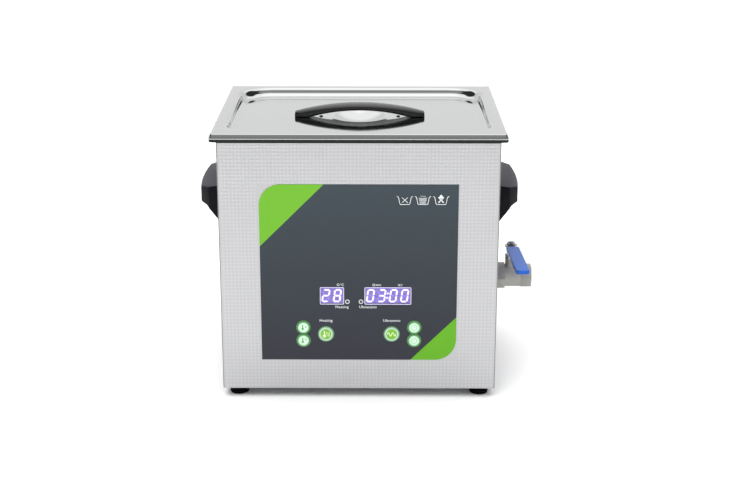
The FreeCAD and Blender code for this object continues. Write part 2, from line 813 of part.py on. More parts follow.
def tact_switches():
    """One small switch behind each button."""
    shapes = []
    for x, z, _ in BUTTONS.values():
        case = box(x - 3, x + 3, BOARD_Y - 3.5, BOARD_Y, z - 3, z + 3)
        plunger = rod(1.75, V(x, TACT_TIP_Y, z), Y_AXIS, 4)
        shapes.append(fuse([case, plunger]))
    return group(shapes)


POWER_POSTS = [(x, y) for x in (POWER_X0 + 6, POWER_X1 - 6) for y in (-POWER_Y + 6, POWER_Y - 6)]


def board_standoffs():
    """Round spacers that hold both circuit boards."""
    posts = [
        washer(3.4, CASE_SCREW_R, V(x, INNER_Y, z), Y_AXIS, BOARD_Y - INNER_Y)
        for x, z in BOARD_POSTS
    ]
    posts += [
        washer(3.4, CASE_SCREW_R, V(x, y, BASE_TOP), Z_AXIS, POWER_Z - BASE_TOP)
        for x, y in POWER_POSTS
    ]
    return group(posts)


def board_screws():
    """Screws through the circuit boards into their spacers."""
    screws = [
        pan_screw(2.9, 1.8, CASE_SCREW_R, 9.0, V(x, BOARD_Y + BOARD_T, z), -Y_AXIS)
        for x, z in BOARD_POSTS
    ]
    screws += [
        pan_screw(2.9, 1.8, CASE_SCREW_R, 9.0, V(x, y, POWER_TOP), -Z_AXIS)
        for x, y in POWER_POSTS
    ]
    return group(screws)


# ---- the generator on the base -----------------------------------------------------

COILS_AT = (32.0, 0.0)
CAPACITORS_AT = [(78.0, y) for y in (-30.0, 0.0, 30.0)]


def power_board():
    """Ultrasonic generator's circuit board."""
    board = box(POWER_X0, POWER_X1, -POWER_Y, POWER_Y, POWER_Z, POWER_TOP)
    return board.cut([rod(CASE_SCREW_R, V(x, y, POWER_Z - 1), Z_AXIS, 5) for x, y in POWER_POSTS])


def heat_sink():
    """Aluminium block with upright fins."""
    block = box(-62, -12, -40, 40, POWER_TOP, POWER_TOP + 5)
    fins = [
        box(-62 + 6.0 * i, -60 + 6.0 * i, -40, 40, POWER_TOP + 4, POWER_TOP + 30)
        for i in range(9)
    ]
    return fuse([block] + fins)


def transformer():
    """Ring-core output transformer lying on the board."""
    x, y = COILS_AT
    ring = washer(23.0, 9.0, V(x, y, POWER_TOP), Z_AXIS, 20)
    outer_r = 23.0

    def rims(middle, edge):
        at_end = abs(middle.z - POWER_TOP) < 1e-4 or abs(middle.z - POWER_TOP - 20) < 1e-4
        return at_end and math.hypot(middle.x - x, middle.y - y) > outer_r - 1

    return rounded(ring, 4.0, rims)


def capacitors():
    """Three upright capacitors."""
    shapes = []
    for x, y in CAPACITORS_AT:
        can = rod(9.0, V(x, y, POWER_TOP), Z_AXIS, 30)
        shapes.append(rounded(can, 1.2, level(POWER_TOP + 30)))
    return group(shapes)


def wiring():
    """Leads held between the parts inside the case."""
    r = 1.5
    shapes = []
    ring_z = (RING_Z0 + RING_Z1) / 2
    for sx in (-1, 1):
        for sy in (-1, 1):
            x = sx * 30.0
            y = sy * TRANSDUCER_Y
            end = V(sx * (TRANSDUCER_X - RING_R - 0.1), y, ring_z)
            shapes.append(tube([V(x, y, POWER_TOP), V(x, y, ring_z), end], 10.0, r))
    for x in (INLET_X - 9, INLET_X - 1):
        start = V(x, INLET_REAR_Y, INLET_Z + 2)
        shapes.append(
            tube([start, V(x, 50, INLET_Z + 2), V(x, 50, POWER_TOP)], 15.0, r)
        )
    bow = V(INLET_X + 7, INLET_REAR_Y - 16, ROCKER_Z)
    shapes.append(
        tube(
            [
                V(bow.x, ROCKER_REAR_Y, ROCKER_Z),
                bow,
                V(bow.x, bow.y, INLET_Z + 8),
                V(bow.x, INLET_REAR_Y, INLET_Z + 8),
            ],
            7.0,
            r,
        )
    )
    ribbon_path = tube_path(
        [
            V(10, BOARD_Y + BOARD_T, 76),
            V(10, BOARD_Y + 30, 76),
            V(10, BOARD_Y + 30, POWER_Z + 0.8),
            V(10, -POWER_Y, POWER_Z + 0.8),
        ],
        8.0,
    )
    end = Part.makePolygon(
        [V(10 + dx, BOARD_Y + BOARD_T, 76 + dz) for dx, dz in RIBBON_CORNERS]
    )
    shapes.append(ribbon_path.makePipeShell([end], True, False))
    return group(shapes)


RIBBON_CORNERS = ((-11, -0.6), (11, -0.6), (11, 0.6), (-11, 0.6), (-11, -0.6))

# ---- handles -----------------------------------------------------------------------


def grip_plan(margin, reach_cut):
    """The side handle from above: flat against the wall, gently bowed outside."""
    x = HALF_W
    half = GRIP_HALF_L - margin
    side = 18.0 - reach_cut * 0.6
    flank = 28.0 - reach_cut
    outer = GRIP_REACH - reach_cut
    edges = [
        Part.makeLine(V(x, -half, 0), V(x + side, -half, 0)),
        Part.makeLine(V(x + side, -half, 0), V(x + flank, -half + 10, 0)),
        Part.Arc(
            V(x + flank, -half + 10, 0), V(x + outer, 0, 0), V(x + flank, half - 10, 0)
        ).toShape(),
        Part.makeLine(V(x + flank, half - 10, 0), V(x + side, half, 0)),
        Part.makeLine(V(x + side, half, 0), V(x, half, 0)),
        Part.makeLine(V(x, half, 0), V(x, -half, 0)),
    ]
    return Part.Face(Part.Wire(edges))


def grip_profile(points, y0, y1):
    """A section through the side handle, drawn out along the case's side."""
    face = outline([V(HALF_W + d, y0, z) for d, z in points])
    return face.extrude(V(0, y1 - y0, 0))


def handle_right():
    """Moulded hood for the fingers, open from below."""
    top = GRIP_Z1
    outer = [
        (0, GRIP_Z0),
        (20.5, top - 25.5),
        (28.5, top - 22.0),
        (GRIP_REACH + 1, top - 4.5),
        (GRIP_REACH + 1, top - 3.6),
        (0, top),
    ]
    inner = [
        (4.5, GRIP_Z0 - 9),
        (24.5, top - 24),
        (26.0, top - 8),
        (23.0, top - 5.5),
        (4.5, top - 4.5),
    ]
    half = GRIP_HALF_L
    hood = grip_profile(outer, -half, half).common(
        grip_plan(0.0, 0.0).extrude(V(0, 0, 100)).translated(V(0, 0, GRIP_Z0 - 10))
    )

    def outer_ridge(middle, edge):
        return middle.x > HALF_W + 17 and middle.z > top - 8 and edge.Length > 8

    hood = rounded(hood, 2.4, outer_ridge)
    pocket = grip_profile(inner, -half, half).common(
        grip_plan(5.0, 4.0).extrude(V(0, 0, 120)).translated(V(0, 0, GRIP_Z0 - 20))
    )
    screws = [
        rod(GRIP_SCREW_R, V(HALF_W - 1, y, z), X_AXIS, 4.5) for y, z in GRIP_SCREWS
    ]
    return hood.cut([pocket] + screws)


def handle_left():
    """Mirror image of the right-hand handle."""
    return handle_right().mirror(ORIGIN, X_AXIS)


def handle_screws():
    """Screws from inside the case into the side handles."""
    shapes = []
    for y, z in GRIP_SCREWS:
        screw = pan_screw(4.0, 2.4, GRIP_SCREW_R, SHEET + 3.4, V(HALF_W - SHEET, y, z), X_AXIS)
        shapes += both_sides(screw)
    return group(shapes)


# ---- the lid -----------------------------------------------------------------------

ARCH_X = 79.0
ARCH_FOOT = 66.0
ARCH_RISE = 17.7
ARCH_CLEAR = 9.7
ARCH_END_H = 6.5
LID_SCREW_X = 72.0


def recess(hx, hy, r, draft, z0, z1, floor_r):
    """The pressed recess as a solid, wider at the top, with a rounded floor edge."""
    low = rounded_wire(hx, hy, r, z0)
    high = rounded_wire(hx + draft, hy + draft, r + draft, z1)
    return rounded(Part.makeLoft([low, high], True, True), floor_r, level(z0))


def lid_pan():
    """Pressed sheet lid: flat rim with a turned-down edge, recess, and a round dish."""
    t = LID_SHEET
    hx = LID_RECESS_W / 2 - 1
    hy = LID_RECESS_D / 2 - 1
    rim = slab(LID_W / 2, LID_D / 2, 5.0, LID_EDGE_Z0, LID_TOP)
    rim = rounded(rim, LID_EDGE_R, level(LID_TOP))
    under = slab(LID_W / 2 - t, LID_D / 2 - t, 4.0, LID_EDGE_Z0 - 1, LID_TOP - t)
    under = rounded(under, LID_EDGE_R - t, level(LID_TOP - t))
    rim = rim.cut(under)
    pan = recess(hx + t, hy + t, 30.0, 1.0, LID_UNDER, LID_TOP - t, 4.0)
    dish_r = (LID_DISH_R**2 + LID_DISH_DEPTH**2) / (2 * LID_DISH_DEPTH)
    centre = V(0, 0, LID_FLOOR - LID_DISH_DEPTH + dish_r)
    below = box(-60, 60, -60, 60, LID_UNDER - 40, LID_UNDER + 0.5)
    outer_dish = Part.makeSphere(dish_r + t, centre).common(below)
    body = fuse([rim, pan])

    def under_rim(middle, edge):
        inside = abs(middle.x) < hx + 5 and abs(middle.y) < hy + 5
        return level(LID_TOP - t)(middle, edge) and inside

    body = rounded(body, 2.0, under_rim)
    body = fuse([body, outer_dish])
    hollow = recess(hx, hy, 29.0, 1.0 + 1.0 / 9.0, LID_FLOOR, LID_TOP, 3.0)
    body = body.cut(hollow)

    def over_rim(middle, edge):
        inside = abs(middle.x) < hx + 5 and abs(middle.y) < hy + 5
        return level(LID_TOP)(middle, edge) and inside

    body = rounded(body, 3.0, over_rim)
    above = box(-60, 60, -60, 60, LID_UNDER - 40, LID_FLOOR + 0.5)
    body = body.cut(Part.makeSphere(dish_r, centre).common(above))

    def dish_edge(middle, edge):
        return level(LID_FLOOR)(middle, edge) and math.hypot(middle.x, middle.y) < 33

    body = rounded(body, 3.0, dish_edge)
    pips = []
    for x in (-47.0, 47.0):
        pip = Part.makeSphere(4.0, V(x, 0, LID_FLOOR - 3.2))
        pips.append(pip.common(box(x - 5, x + 5, -5, 5, LID_FLOOR - 0.5, LID_FLOOR + 2)))
    body = fuse([body] + pips)
    holes = both_sides(rod(2.0, V(LID_SCREW_X, 0, LID_UNDER - 1), Z_AXIS, 4))
    return body.cut(holes)


def lid_handle():
    """Arched bow handle, widest in the middle, standing on the recess floor."""
    floor = LID_FLOOR
    top = floor + ARCH_RISE
    end_top = floor + ARCH_END_H
    y = -20.0
    half = 12.5
    end_half = 8.0
    edges = [
        Part.makeLine(V(-ARCH_X, y, floor), V(-ARCH_X, y, end_top)),
        Part.Arc(V(-ARCH_X, y, end_top), V(0, y, top), V(ARCH_X, y, end_top)).toShape(),
        Part.makeLine(V(ARCH_X, y, end_top), V(ARCH_X, y, floor)),
        Part.makeLine(V(ARCH_X, y, floor), V(ARCH_FOOT, y, floor)),
        Part.Arc(V(ARCH_FOOT, y, floor), V(0, y, floor + ARCH_CLEAR), V(-ARCH_FOOT, y, floor)).toShape(),
        Part.makeLine(V(-ARCH_FOOT, y, floor), V(-ARCH_X, y, floor)),
    ]
    arch = Part.Face(Part.Wire(edges)).extrude(V(0, 40, 0))
    z = floor - 1
    plan_edges = [
        Part.makeLine(V(-ARCH_X, end_half, z), V(-ARCH_X, -end_half, z)),
        Part.Arc(V(-ARCH_X, -end_half, z), V(0, -half, z), V(ARCH_X, -end_half, z)).toShape(),
        Part.makeLine(V(ARCH_X, -end_half, z), V(ARCH_X, end_half, z)),
        Part.Arc(V(ARCH_X, end_half, z), V(0, half, z), V(-ARCH_X, end_half, z)).toShape(),
    ]
    plan = Part.Face(Part.Wire(plan_edges)).extrude(V(0, 0, 30))
    bow = arch.common(plan)

    def upper_long_edge(middle, edge):
        return middle.z > end_top + 2 and abs(middle.y) > 6 and edge.Length > 100

    bow = rounded(bow, 3.0, upper_long_edge)
    return bow.cut(both_sides(rod(2.0, V(LID_SCREW_X, 0, floor - 1), Z_AXIS, 5)))


def lid_handle_screws():
    """Screws from under the lid into the bow handle."""
    screw = pan_screw(4.0, 2.2, 2.0, LID_SHEET + 3.4, V(LID_SCREW_X, 0, LID_UNDER), Z_AXIS)
    return group(both_sides(screw))


# ---- mains inlet, switch and fan at the back ---------------------------------------

INLET_REAR_Y = 106.0
ROCKER_REAR_Y = 108.0
SOCKET_Z = INLET_Z + 3.5
DRAWER_Z = INLET_Z - 12.0


def mains_inlet():
    """Appliance inlet: flange, socket for the cord and a slot for the fuse drawer."""
    flange = panel_plate(INLET_X - 25, INLET_X + 25, INLET_Z - 20, INLET_Z + 16, 3.0, BACK_Y, BACK_Y + 1.6)
    lip = panel_plate(INLET_X - 16, INLET_X + 16, INLET_Z - 18.5, INLET_Z + 14.5, 2.0, BACK_Y, BACK_Y + 3.4)
    body = box(INLET_X - 13.8, INLET_X + 13.8, INLET_REAR_Y, BACK_Y, INLET_Z - 17.8, INLET_Z + 13.8)
    socket_face = outline(
        [
            V(INLET_X + dx, BACK_Y + 5, SOCKET_Z + dz)
            for dx, dz in ((-12, -8), (12, -8), (12, 4), (8, 8), (-8, 8), (-12, 4))
        ]
    )
    socket = socket_face.extrude(V(0, -22, 0))
    slot = box(INLET_X - 11, INLET_X + 11, BACK_Y - 20, BACK_Y + 5, DRAWER_Z - 4, DRAWER_Z + 4)
    pins = [rod(1.6, V(x, INLET_REAR_Y - 1, z), Y_AXIS, 20) for x, z in INLET_PIN_ROOTS]
    ears = [rod(CASE_SCREW_R, V(x, BACK_Y - 1, INLET_Z), Y_AXIS, 6) for x in (INLET_X - 20, INLET_X + 20)]
    return fuse([flange, lip, body]).cut([socket, slot] + pins + ears)


INLET_PIN_ROOTS = (
    (INLET_X - 7, SOCKET_Z - 1),
    (INLET_X + 7, SOCKET_Z - 1),
    (INLET_X, SOCKET_Z + 3),
)


def inlet_pins():
    """Three flat contact pins in the socket, on round roots."""
    shapes = []
    socket_floor = BACK_Y - 17
    for x, z in INLET_PIN_ROOTS:
        root = rod(1.6, V(x, INLET_REAR_Y + 0.5, z), Y_AXIS, socket_floor - INLET_REAR_Y - 0.5)
        blade = box(x - 1, x + 1, socket_floor - 0.5, BACK_Y - 1, z - 2, z + 2)
        shapes.append(fuse([root, blade.cut(rod(9, V(x, socket_floor - 9, z), Y_AXIS, 9))]))
    return group(shapes)


def fuse_drawer():
    """Small drawer under the socket, with room for two fuses."""
    tray = box(INLET_X - 10.7, INLET_X + 10.7, BACK_Y - 19, BACK_Y + 3.6, DRAWER_Z - 3.7, DRAWER_Z + 3.7)
    front = box(INLET_X - 12, INLET_X + 12, BACK_Y + 3.6, BACK_Y + 5.0, DRAWER_Z - 4.4, DRAWER_Z + 4.4)
    pockets = [
        box(x - 3.5, x + 3.5, BACK_Y - 17, BACK_Y - 1, DRAWER_Z - 2, DRAWER_Z + 5)
        for x in (INLET_X - 5, INLET_X + 5)
    ]
    return fuse([tray, front]).cut(pockets)


def rocker_bezel():
    """Frame and rear case of the power switch."""
    z0 = ROCKER_Z - 15.5
    z1 = ROCKER_Z + 15.5
    frame = panel_plate(INLET_X - 12.5, INLET_X + 12.5, z0, z1, 2.0, BACK_Y, BACK_Y + 2.2)
    case = box(INLET_X - 10.8, INLET_X + 10.8, ROCKER_REAR_Y, BACK_Y, ROCKER_Z - 13.8, ROCKER_Z + 13.8)
    well_y = ROCKER_PIVOT_Y - 13.0
    well = box(INLET_X - 9.2, INLET_X + 9.2, well_y, BACK_Y + 3, ROCKER_Z - 12.8, ROCKER_Z + 12.8)
    return fuse([frame, case]).cut(well)


def rocker():
    """Rocker pressed in at its upper, switched-on end."""
    pivot = V(INLET_X - 8.8, ROCKER_PIVOT_Y, ROCKER_Z)
    drum = rod(ROCKER_R, pivot, X_AXIS, 17.6)
    x0 = INLET_X - 10
    x1 = INLET_X + 10
    valley = ROCKER_PIVOT_Y + 5.0
    rise = 1.6
    front = outline(
        [
            V(x0, valley, ROCKER_Z),
            V(x0, valley + rise, ROCKER_Z + 14),
            V(x0, valley + 20, ROCKER_Z + 14),
            V(x0, valley + 20, ROCKER_Z - 14),
            V(x0, valley + rise, ROCKER_Z - 14),
        ]
    ).extrude(V(x1 - x0, 0, 0))
    rear = box(x0, x1, ROCKER_PIVOT_Y - 20, ROCKER_PIVOT_Y - 3, ROCKER_Z - 14, ROCKER_Z + 14)
    shape = drum.cut([front, rear])
    shape.rotate(V(0, ROCKER_PIVOT_Y, ROCKER_Z), X_AXIS, ROCKER_TILT)
    return shape


def fan_frame():
    """Square fan housing with four arms to the motor plate."""
    half = FAN_SIZE / 2
    y0 = BACK_Y - SHEET - FAN_T
    y1 = BACK_Y - SHEET
    block = panel_plate(FAN_X - half, FAN_X + half, FAN_Z - half, FAN_Z + half, 3.0, y0, y1)
    cutters = [rod(38.0, V(FAN_X, y0 - 1, FAN_Z), Y_AXIS, FAN_T + 2)]
    cutters += [rod(2.1, V(FAN_X + dx, y0 - 1, FAN_Z + dz), Y_AXIS, FAN_T + 2) for dx, dz in FAN_HOLES]
    ring = block.cut(cutters)
    plate = rod(17.0, V(FAN_X, y0, FAN_Z), Y_AXIS, 3.5)
    arms = [
        box(FAN_X - 1.5, FAN_X + 1.5, y0, y0 + 3, FAN_Z - 39, FAN_Z + 39),
        box(FAN_X - 39, FAN_X + 39, y0, y0 + 3, FAN_Z - 1.5, FAN_Z + 1.5),
    ]
    return fuse([ring, plate] + arms)


def fan_rotor():
    """Hub with seven pitched blades."""
    y0 = BACK_Y - SHEET - FAN_T + 4.5
    y1 = BACK_Y - SHEET - 1.5
    hub = rod(16.5, V(FAN_X, y0, FAN_Z), Y_AXIS, y1 - y0)
    hub = rounded(hub, 1.5, lambda m, e: abs(m.y - y1) < 1e-4)
    middle_y = (y0 + y1) / 2
    blades = []
    for i in range(7):
        blade = box(-9.5, 9.5, -0.8, 0.8, 15.0, 38.0)
        blade.rotate(ORIGIN, Z_AXIS, 40)
        blade.rotate(ORIGIN, Y_AXIS, 360.0 * i / 7)
        blades.append(blade.translated(V(FAN_X, middle_y, FAN_Z)))
    limit = rod(36.8, V(FAN_X, y0, FAN_Z), Y_AXIS, y1 - y0)
    return fuse([hub] + [blade.common(limit) for blade in blades])


def fan_guard():
    """Wire finger guard on the outside of the rear panel."""
    wire_r = 0.9
    y = BACK_Y + 2.7
    rings = [Part.makeTorus(r, wire_r, V(FAN_X, y, FAN_Z), Y_AXIS) for r in (10.0, 17.0, 24.0, 31.0, 38.0)]
    spokes = []
    reach = FAN_PITCH / 2 + 1.0
    for turn in (45, 135):
        spoke = rod(wire_r, V(-reach * math.sqrt(2), 0, 0), X_AXIS, 2 * reach * math.sqrt(2))
        spoke.rotate(ORIGIN, Y_AXIS, turn)
        spokes.append(spoke.translated(V(FAN_X, BACK_Y + 1.3, FAN_Z)))
    eyes = [
        washer(3.4, 2.1, V(FAN_X + dx, BACK_Y, FAN_Z + dz), Y_AXIS, 2.2) for dx, dz in FAN_HOLES
    ]
    bores = [rod(2.1, V(FAN_X + dx, BACK_Y - 1, FAN_Z + dz), Y_AXIS, 5) for dx, dz in FAN_HOLES]
    return fuse(rings + spokes + eyes).cut(bores)


def fan_screws():
    """Four long screws through the guard, the panel and the fan."""
    shapes = []
    for dx, dz in FAN_HOLES:
        seat = V(FAN_X + dx, BACK_Y + 2.2, FAN_Z + dz)
        screw = pan_screw(3.6, 2.0, 2.0, 33.0, seat, -Y_AXIS)
        nut = hexagon(7.0, V(seat.x, BACK_Y - SHEET - FAN_T - 3.2, seat.z), Y_AXIS, 3.2)
        shapes.append(fuse([screw, nut]))
    return group(shapes)


# ---- every piece, written out ------------------------------------------------------

PIECES = [
    housing_wrap,
    rear_panel,
    base_plate,
    feet,
    foot_screws,
    case_screws,
    tank,
    rim_gasket,
    drain_spud,
    drain_elbow,
    transducer_heads,
    piezo_rings,
    transducer_tails,
    transducer_bolts,
    heater_pads,
    thermal_cutout,
    bulkhead_nut,
    valve_body,
    valve_end,
    valve_seats,
    gland_nut,
    valve_ball,
    valve_stem,
    valve_lever,
    lever_grip,
    lever_nut,
    control_overlay,
    display_windows,
    display_modules,
    indicator_leds,
    control_board,
    tact_switches,
    board_standoffs,
    board_screws,
    power_board,
    heat_sink,
    transformer,
    capacitors,
    wiring,
    handle_left,
    handle_right,
    handle_screws,
    lid_pan,
    lid_handle,
    lid_handle_screws,
    mains_inlet,
    inlet_pins,
    fuse_drawer,
    rocker_bezel,
    rocker,
    fan_frame,
    fan_rotor,
    fan_guard,
    fan_screws,
]


def write(name, shape):
    """Move a piece to the object's origin and save it."""
    placed = shape.translated(V(ORIGIN_SHIFT, 0, 0))
    placed.exportStep(os.path.join("parts", name + ".step"))


def main():
    os.makedirs("parts", exist_ok=True)
    for piece in PIECES:
        write(piece.__name__, piece())
    for name in BUTTONS:
        write(name, button(name))


main()
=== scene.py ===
"""Finishes, soft shapes and small printed detail of the bench-top ultrasonic cleaner."""

import json
import math

import bmesh
import bpy
from mathutils import Matrix, Vector


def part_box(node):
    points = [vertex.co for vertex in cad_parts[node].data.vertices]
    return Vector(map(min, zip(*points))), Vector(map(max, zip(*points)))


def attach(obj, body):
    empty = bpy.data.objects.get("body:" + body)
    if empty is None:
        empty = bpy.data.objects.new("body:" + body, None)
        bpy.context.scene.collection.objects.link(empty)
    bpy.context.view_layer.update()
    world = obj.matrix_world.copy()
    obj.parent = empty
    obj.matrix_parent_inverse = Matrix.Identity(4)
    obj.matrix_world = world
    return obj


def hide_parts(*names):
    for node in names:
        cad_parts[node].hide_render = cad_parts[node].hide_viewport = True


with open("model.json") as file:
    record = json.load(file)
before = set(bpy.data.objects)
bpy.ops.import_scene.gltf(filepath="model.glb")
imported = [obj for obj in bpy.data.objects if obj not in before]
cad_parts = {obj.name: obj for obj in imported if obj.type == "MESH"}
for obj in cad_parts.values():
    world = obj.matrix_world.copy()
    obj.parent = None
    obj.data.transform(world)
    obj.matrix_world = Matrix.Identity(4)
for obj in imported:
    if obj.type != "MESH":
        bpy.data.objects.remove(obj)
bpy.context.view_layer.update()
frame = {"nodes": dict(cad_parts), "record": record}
nodes = frame["nodes"]

MM = 0.001

# ---- places taken from the fixed frame ------------------------------------------------

case_lo, case_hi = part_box("housing_wrap")
panel_lo, panel_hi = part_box("control_overlay")
lid_lo, lid_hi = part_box("lid_pan")
bow_lo, bow_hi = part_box("lid_handle")
CASE_X = (case_lo.x + case_hi.x) / 2
PANEL_Y = panel_lo.y
SCREENS = {"temp": (-45.2, -17.7), "timer": (7.1, 61.2)}
SCREEN_Z = (119.1, 139.7)


def at(x, y, z):
    """A point given in millimetres about the middle of the case."""
    return Vector((CASE_X + x * MM, y * MM, z * MM))


# ---- finishes --------------------------------------------------------------------------


class Finish:
    """A surface finish built up from nodes, all of them read in the piece's own coordinates."""

    def __init__(self, name):
        self.mat = bpy.data.materials.new(name)
        self.mat.use_nodes = True
        self.tree = self.mat.node_tree
        self.tree.nodes.clear()
        self.out = self.add("ShaderNodeOutputMaterial")
        self.skin = self.add("ShaderNodeBsdfPrincipled")
        self.join(self.skin.outputs[0], self.out.inputs["Surface"])
        self.coords = self.add("ShaderNodeTexCoord").outputs
        self.place = self.coords["Object"]

    def add(self, kind, **settings):
        node = self.tree.nodes.new(kind)
        for key, value in settings.items():
            setattr(node, key, value)
        return node

    def join(self, source, target):
        self.tree.links.new(source, target)

    def feed(self, socket, value):
        """Sets a socket to a constant or links another socket into it."""
        if hasattr(value, "is_output"):
            self.join(value, socket)
        else:
            socket.default_value = value

    def set(self, **values):
        """Sets the surface's own sockets; underscores stand for spaces."""
        for key, value in values.items():
            self.feed(self.skin.inputs[key.replace("_", " ")], value)
        return self

    def stretched(self, scale):
        """The place, scaled separately along each axis."""
        node = self.add("ShaderNodeMapping")
        node.inputs["Scale"].default_value = scale
        self.join(self.place, node.inputs["Vector"])
        return node.outputs[0]

    def noise(self, scale, detail=3.0, rough=0.55, where=None):
        """Cloudy grey, read at the piece's own place unless another is given."""
        node = self.add("ShaderNodeTexNoise")
        self.join(where or self.place, node.inputs["Vector"])
        node.inputs["Scale"].default_value = scale
        node.inputs["Detail"].default_value = detail
        node.inputs["Roughness"].default_value = rough
        return node.outputs["Fac"]

    def cells(self, scale, where=None, feature="F1"):
        """Grey by the distance to scattered points."""
        node = self.add("ShaderNodeTexVoronoi", feature=feature)
        self.join(where or self.place, node.inputs["Vector"])
        node.inputs["Scale"].default_value = scale
        return node.outputs["Distance"]

    def ramp(self, fac, *stops):
        """Colours or greys spread along a factor."""
        node = self.add("ShaderNodeValToRGB")
        self.feed(node.inputs["Fac"], fac)
        ramp = node.color_ramp
        while len(ramp.elements) < len(stops):
            ramp.elements.new(0.5)
        for element, (where, colour) in zip(ramp.elements, stops):
            element.position = where
            element.color = tone(colour)
        return node.outputs["Color"]

    def spread(self, fac, low, high, start=0.0, end=1.0):
        """A number that goes from low to high while the factor goes from start to end."""
        node = self.add("ShaderNodeMapRange")
        self.feed(node.inputs["Value"], fac)
        limits = {"From Min": start, "From Max": end, "To Min": low, "To Max": high}
        for key, value in limits.items():
            node.inputs[key].default_value = value
        return node.outputs[0]

    def sum(self, operation, first, second=0.0, third=0.0):
        """The result of one operation on up to three numbers."""
        node = self.add("ShaderNodeMath", operation=operation)
        for socket, value in zip(node.inputs, (first, second, third)):
            self.feed(socket, value)
        return node.outputs[0]

    def mix(self, fac, first, second):
        """The first colour going over to the second as the factor rises."""
        node = self.add("ShaderNodeMix", data_type="RGBA")
        self.feed(node.inputs[0], fac)
        for socket, value in ((node.inputs[6], first), (node.inputs[7], second)):
            self.feed(socket, value if hasattr(value, "is_output") else tone(value))
        return node.outputs[2]

    def axes(self, where=None):
        """The three coordinates of a place, the piece's own unless another is given."""
        node = self.add("ShaderNodeSeparateXYZ")
        self.join(where or self.place, node.inputs[0])
        return node.outputs

    def relief(self, height, depth):
        """Small relief of a given depth."""
        node = self.add("ShaderNodeBump")
        node.inputs["Strength"].default_value = 1.0
        node.inputs["Distance"].default_value = depth
        self.join(height, node.inputs["Height"])
        self.join(node.outputs[0], self.skin.inputs["Normal"])


def tone(colour):
    """A display colour as hex text, or a grey, in the renderer's linear values."""
    if isinstance(colour, (int, float)):
        return (colour, colour, colour, 1.0)
    if isinstance(colour, str):
        parts = [int(colour[i : i + 2], 16) / 255 for i in (0, 2, 4)]
        linear = [c / 12.92 if c <= 0.04045 else ((c + 0.055) / 1.055) ** 2.4 for c in parts]
        return (*linear, 1.0)
    return tuple(colour)


def brushed(name, dark, light, roughness, along=(1, 1, 1), depth=0.00002):
    """Metal with a fine grain drawn out along one direction."""
    f = Finish(name)
    wear = 0.06
    grain = f.noise(1.0, 4.0, 0.6, where=f.stretched([a * 900 for a in along]))
    cloud = f.noise(14.0, 3.0)
    f.set(Metallic=1.0, Base_Color=f.mix(cloud, dark, light))
    rubbed = f.spread(grain, roughness - wear, roughness + wear)
    f.set(Roughness=f.sum("ADD", rubbed, f.spread(cloud, -0.02, 0.02)))
    f.relief(grain, depth)
    return f.mat


def polished(name, light, roughness):
    """Bright sheet with faint rubbing marks."""
    f = Finish(name)
    haze = f.noise(22.0, 5.0, 0.6)
    rub = f.noise(1.0, 3.0, 0.7, where=f.stretched((140, 1500, 300)))
    dimmed = [c * 0.97 for c in tone(light)[:3]] + [1.0]
    f.set(Metallic=1.0, Base_Color=f.mix(haze, light, dimmed))
    hazed = f.spread(haze, roughness - 0.02, roughness + 0.03)
    f.set(Roughness=f.sum("ADD", hazed, f.spread(rub, -0.015, 0.02)))
    f.relief(rub, 0.0000015)
    return f.mat


def cast(name, dark, light, roughness):
    """Blasted cast metal: a fine pitted skin that scatters part of the light."""
    f = Finish(name)
    pitting, depth = 420.0, 0.00006
    grit = f.noise(pitting * 3, 4.0, 0.65)
    pits = f.cells(pitting)
    tint = f.noise(60.0, 4.0)
    f.set(Metallic=0.45, Base_Color=f.mix(tint, dark, light))
    f.set(Roughness=f.spread(grit, roughness - 0.07, roughness + 0.09))
    f.relief(f.sum("ADD", grit, f.sum("MULTIPLY", pits, 0.6)), depth)
    return f.mat


def moulded(name, dark, light, roughness, scale=1400.0, depth=0.00003, gloss=0.5, painted_top_sheen=None):
    """Moulded plastic or rubber with a fine spark-eroded texture.

    Given a sheen colour, a piece is painted paler on its upper faces: a painted sheen for the light
    its tops catch.
    """
    f = Finish(name)
    skin = f.noise(scale, 3.0, 0.6)
    pebble = f.cells(scale * 0.8)
    cloud = f.noise(18.0, 4.0)
    colour = f.mix(cloud, dark, light)
    if painted_top_sheen:
        # painted sheen: faces turned upwards are mixed towards the paler sheen colour
        upward = f.spread(f.axes(f.coords["Normal"])[2], 0.0, 1.0, 0.2, 0.6)
        colour = f.mix(f.sum("MULTIPLY", upward, f.spread(cloud, 0.8, 1.0)), colour, painted_top_sheen)
    f.set(Base_Color=colour, Specular_IOR_Level=gloss)
    grained = f.spread(skin, roughness - 0.05, roughness + 0.05)
    f.set(Roughness=f.sum("ADD", grained, f.spread(cloud, -0.04, 0.04)))
    f.relief(f.sum("ADD", skin, pebble), depth)
    return f.mat


def linen(name, dark, light):
    """Embossed case sheet: satin steel, with a painted dark line where it is bent round the front
    edges, standing in for the darker light those bends reflect.
    """
    f = Finish(name)
    grain = f.noise(1.0, 3.0, 0.6, where=f.stretched((2400, 2400, 260)))
    cloud = f.noise(9.0, 3.0)
    x, y, _ = f.axes()
    out = f.sum("ABSOLUTE", f.sum("SUBTRACT", x, CASE_X))
    half = (case_hi.x - case_lo.x) / 2
    # painted shade: a dark line down both front bends, in place of the darker light they reflect
    painted_bend_shade = f.spread(out, 0.0, 1.0, half - 1.7 * MM, half - 0.9 * MM)
    near_front = f.spread(y, 1.0, 0.0, case_lo.y + 1.2 * MM, case_lo.y + 2.2 * MM)
    painted_bend_shade = f.sum("MULTIPLY", f.sum("MULTIPLY", painted_bend_shade, near_front), 0.95)
    # 77777a is the painted shade of the bend line
    f.set(Metallic=1.0, Base_Color=f.mix(painted_bend_shade, f.mix(cloud, dark, light), "77777a"))
    f.set(Roughness=f.sum("ADD", f.spread(grain, 0.36, 0.46), f.spread(cloud, -0.02, 0.02)))
    f.relief(grain, 0.000012)
    return f.mat


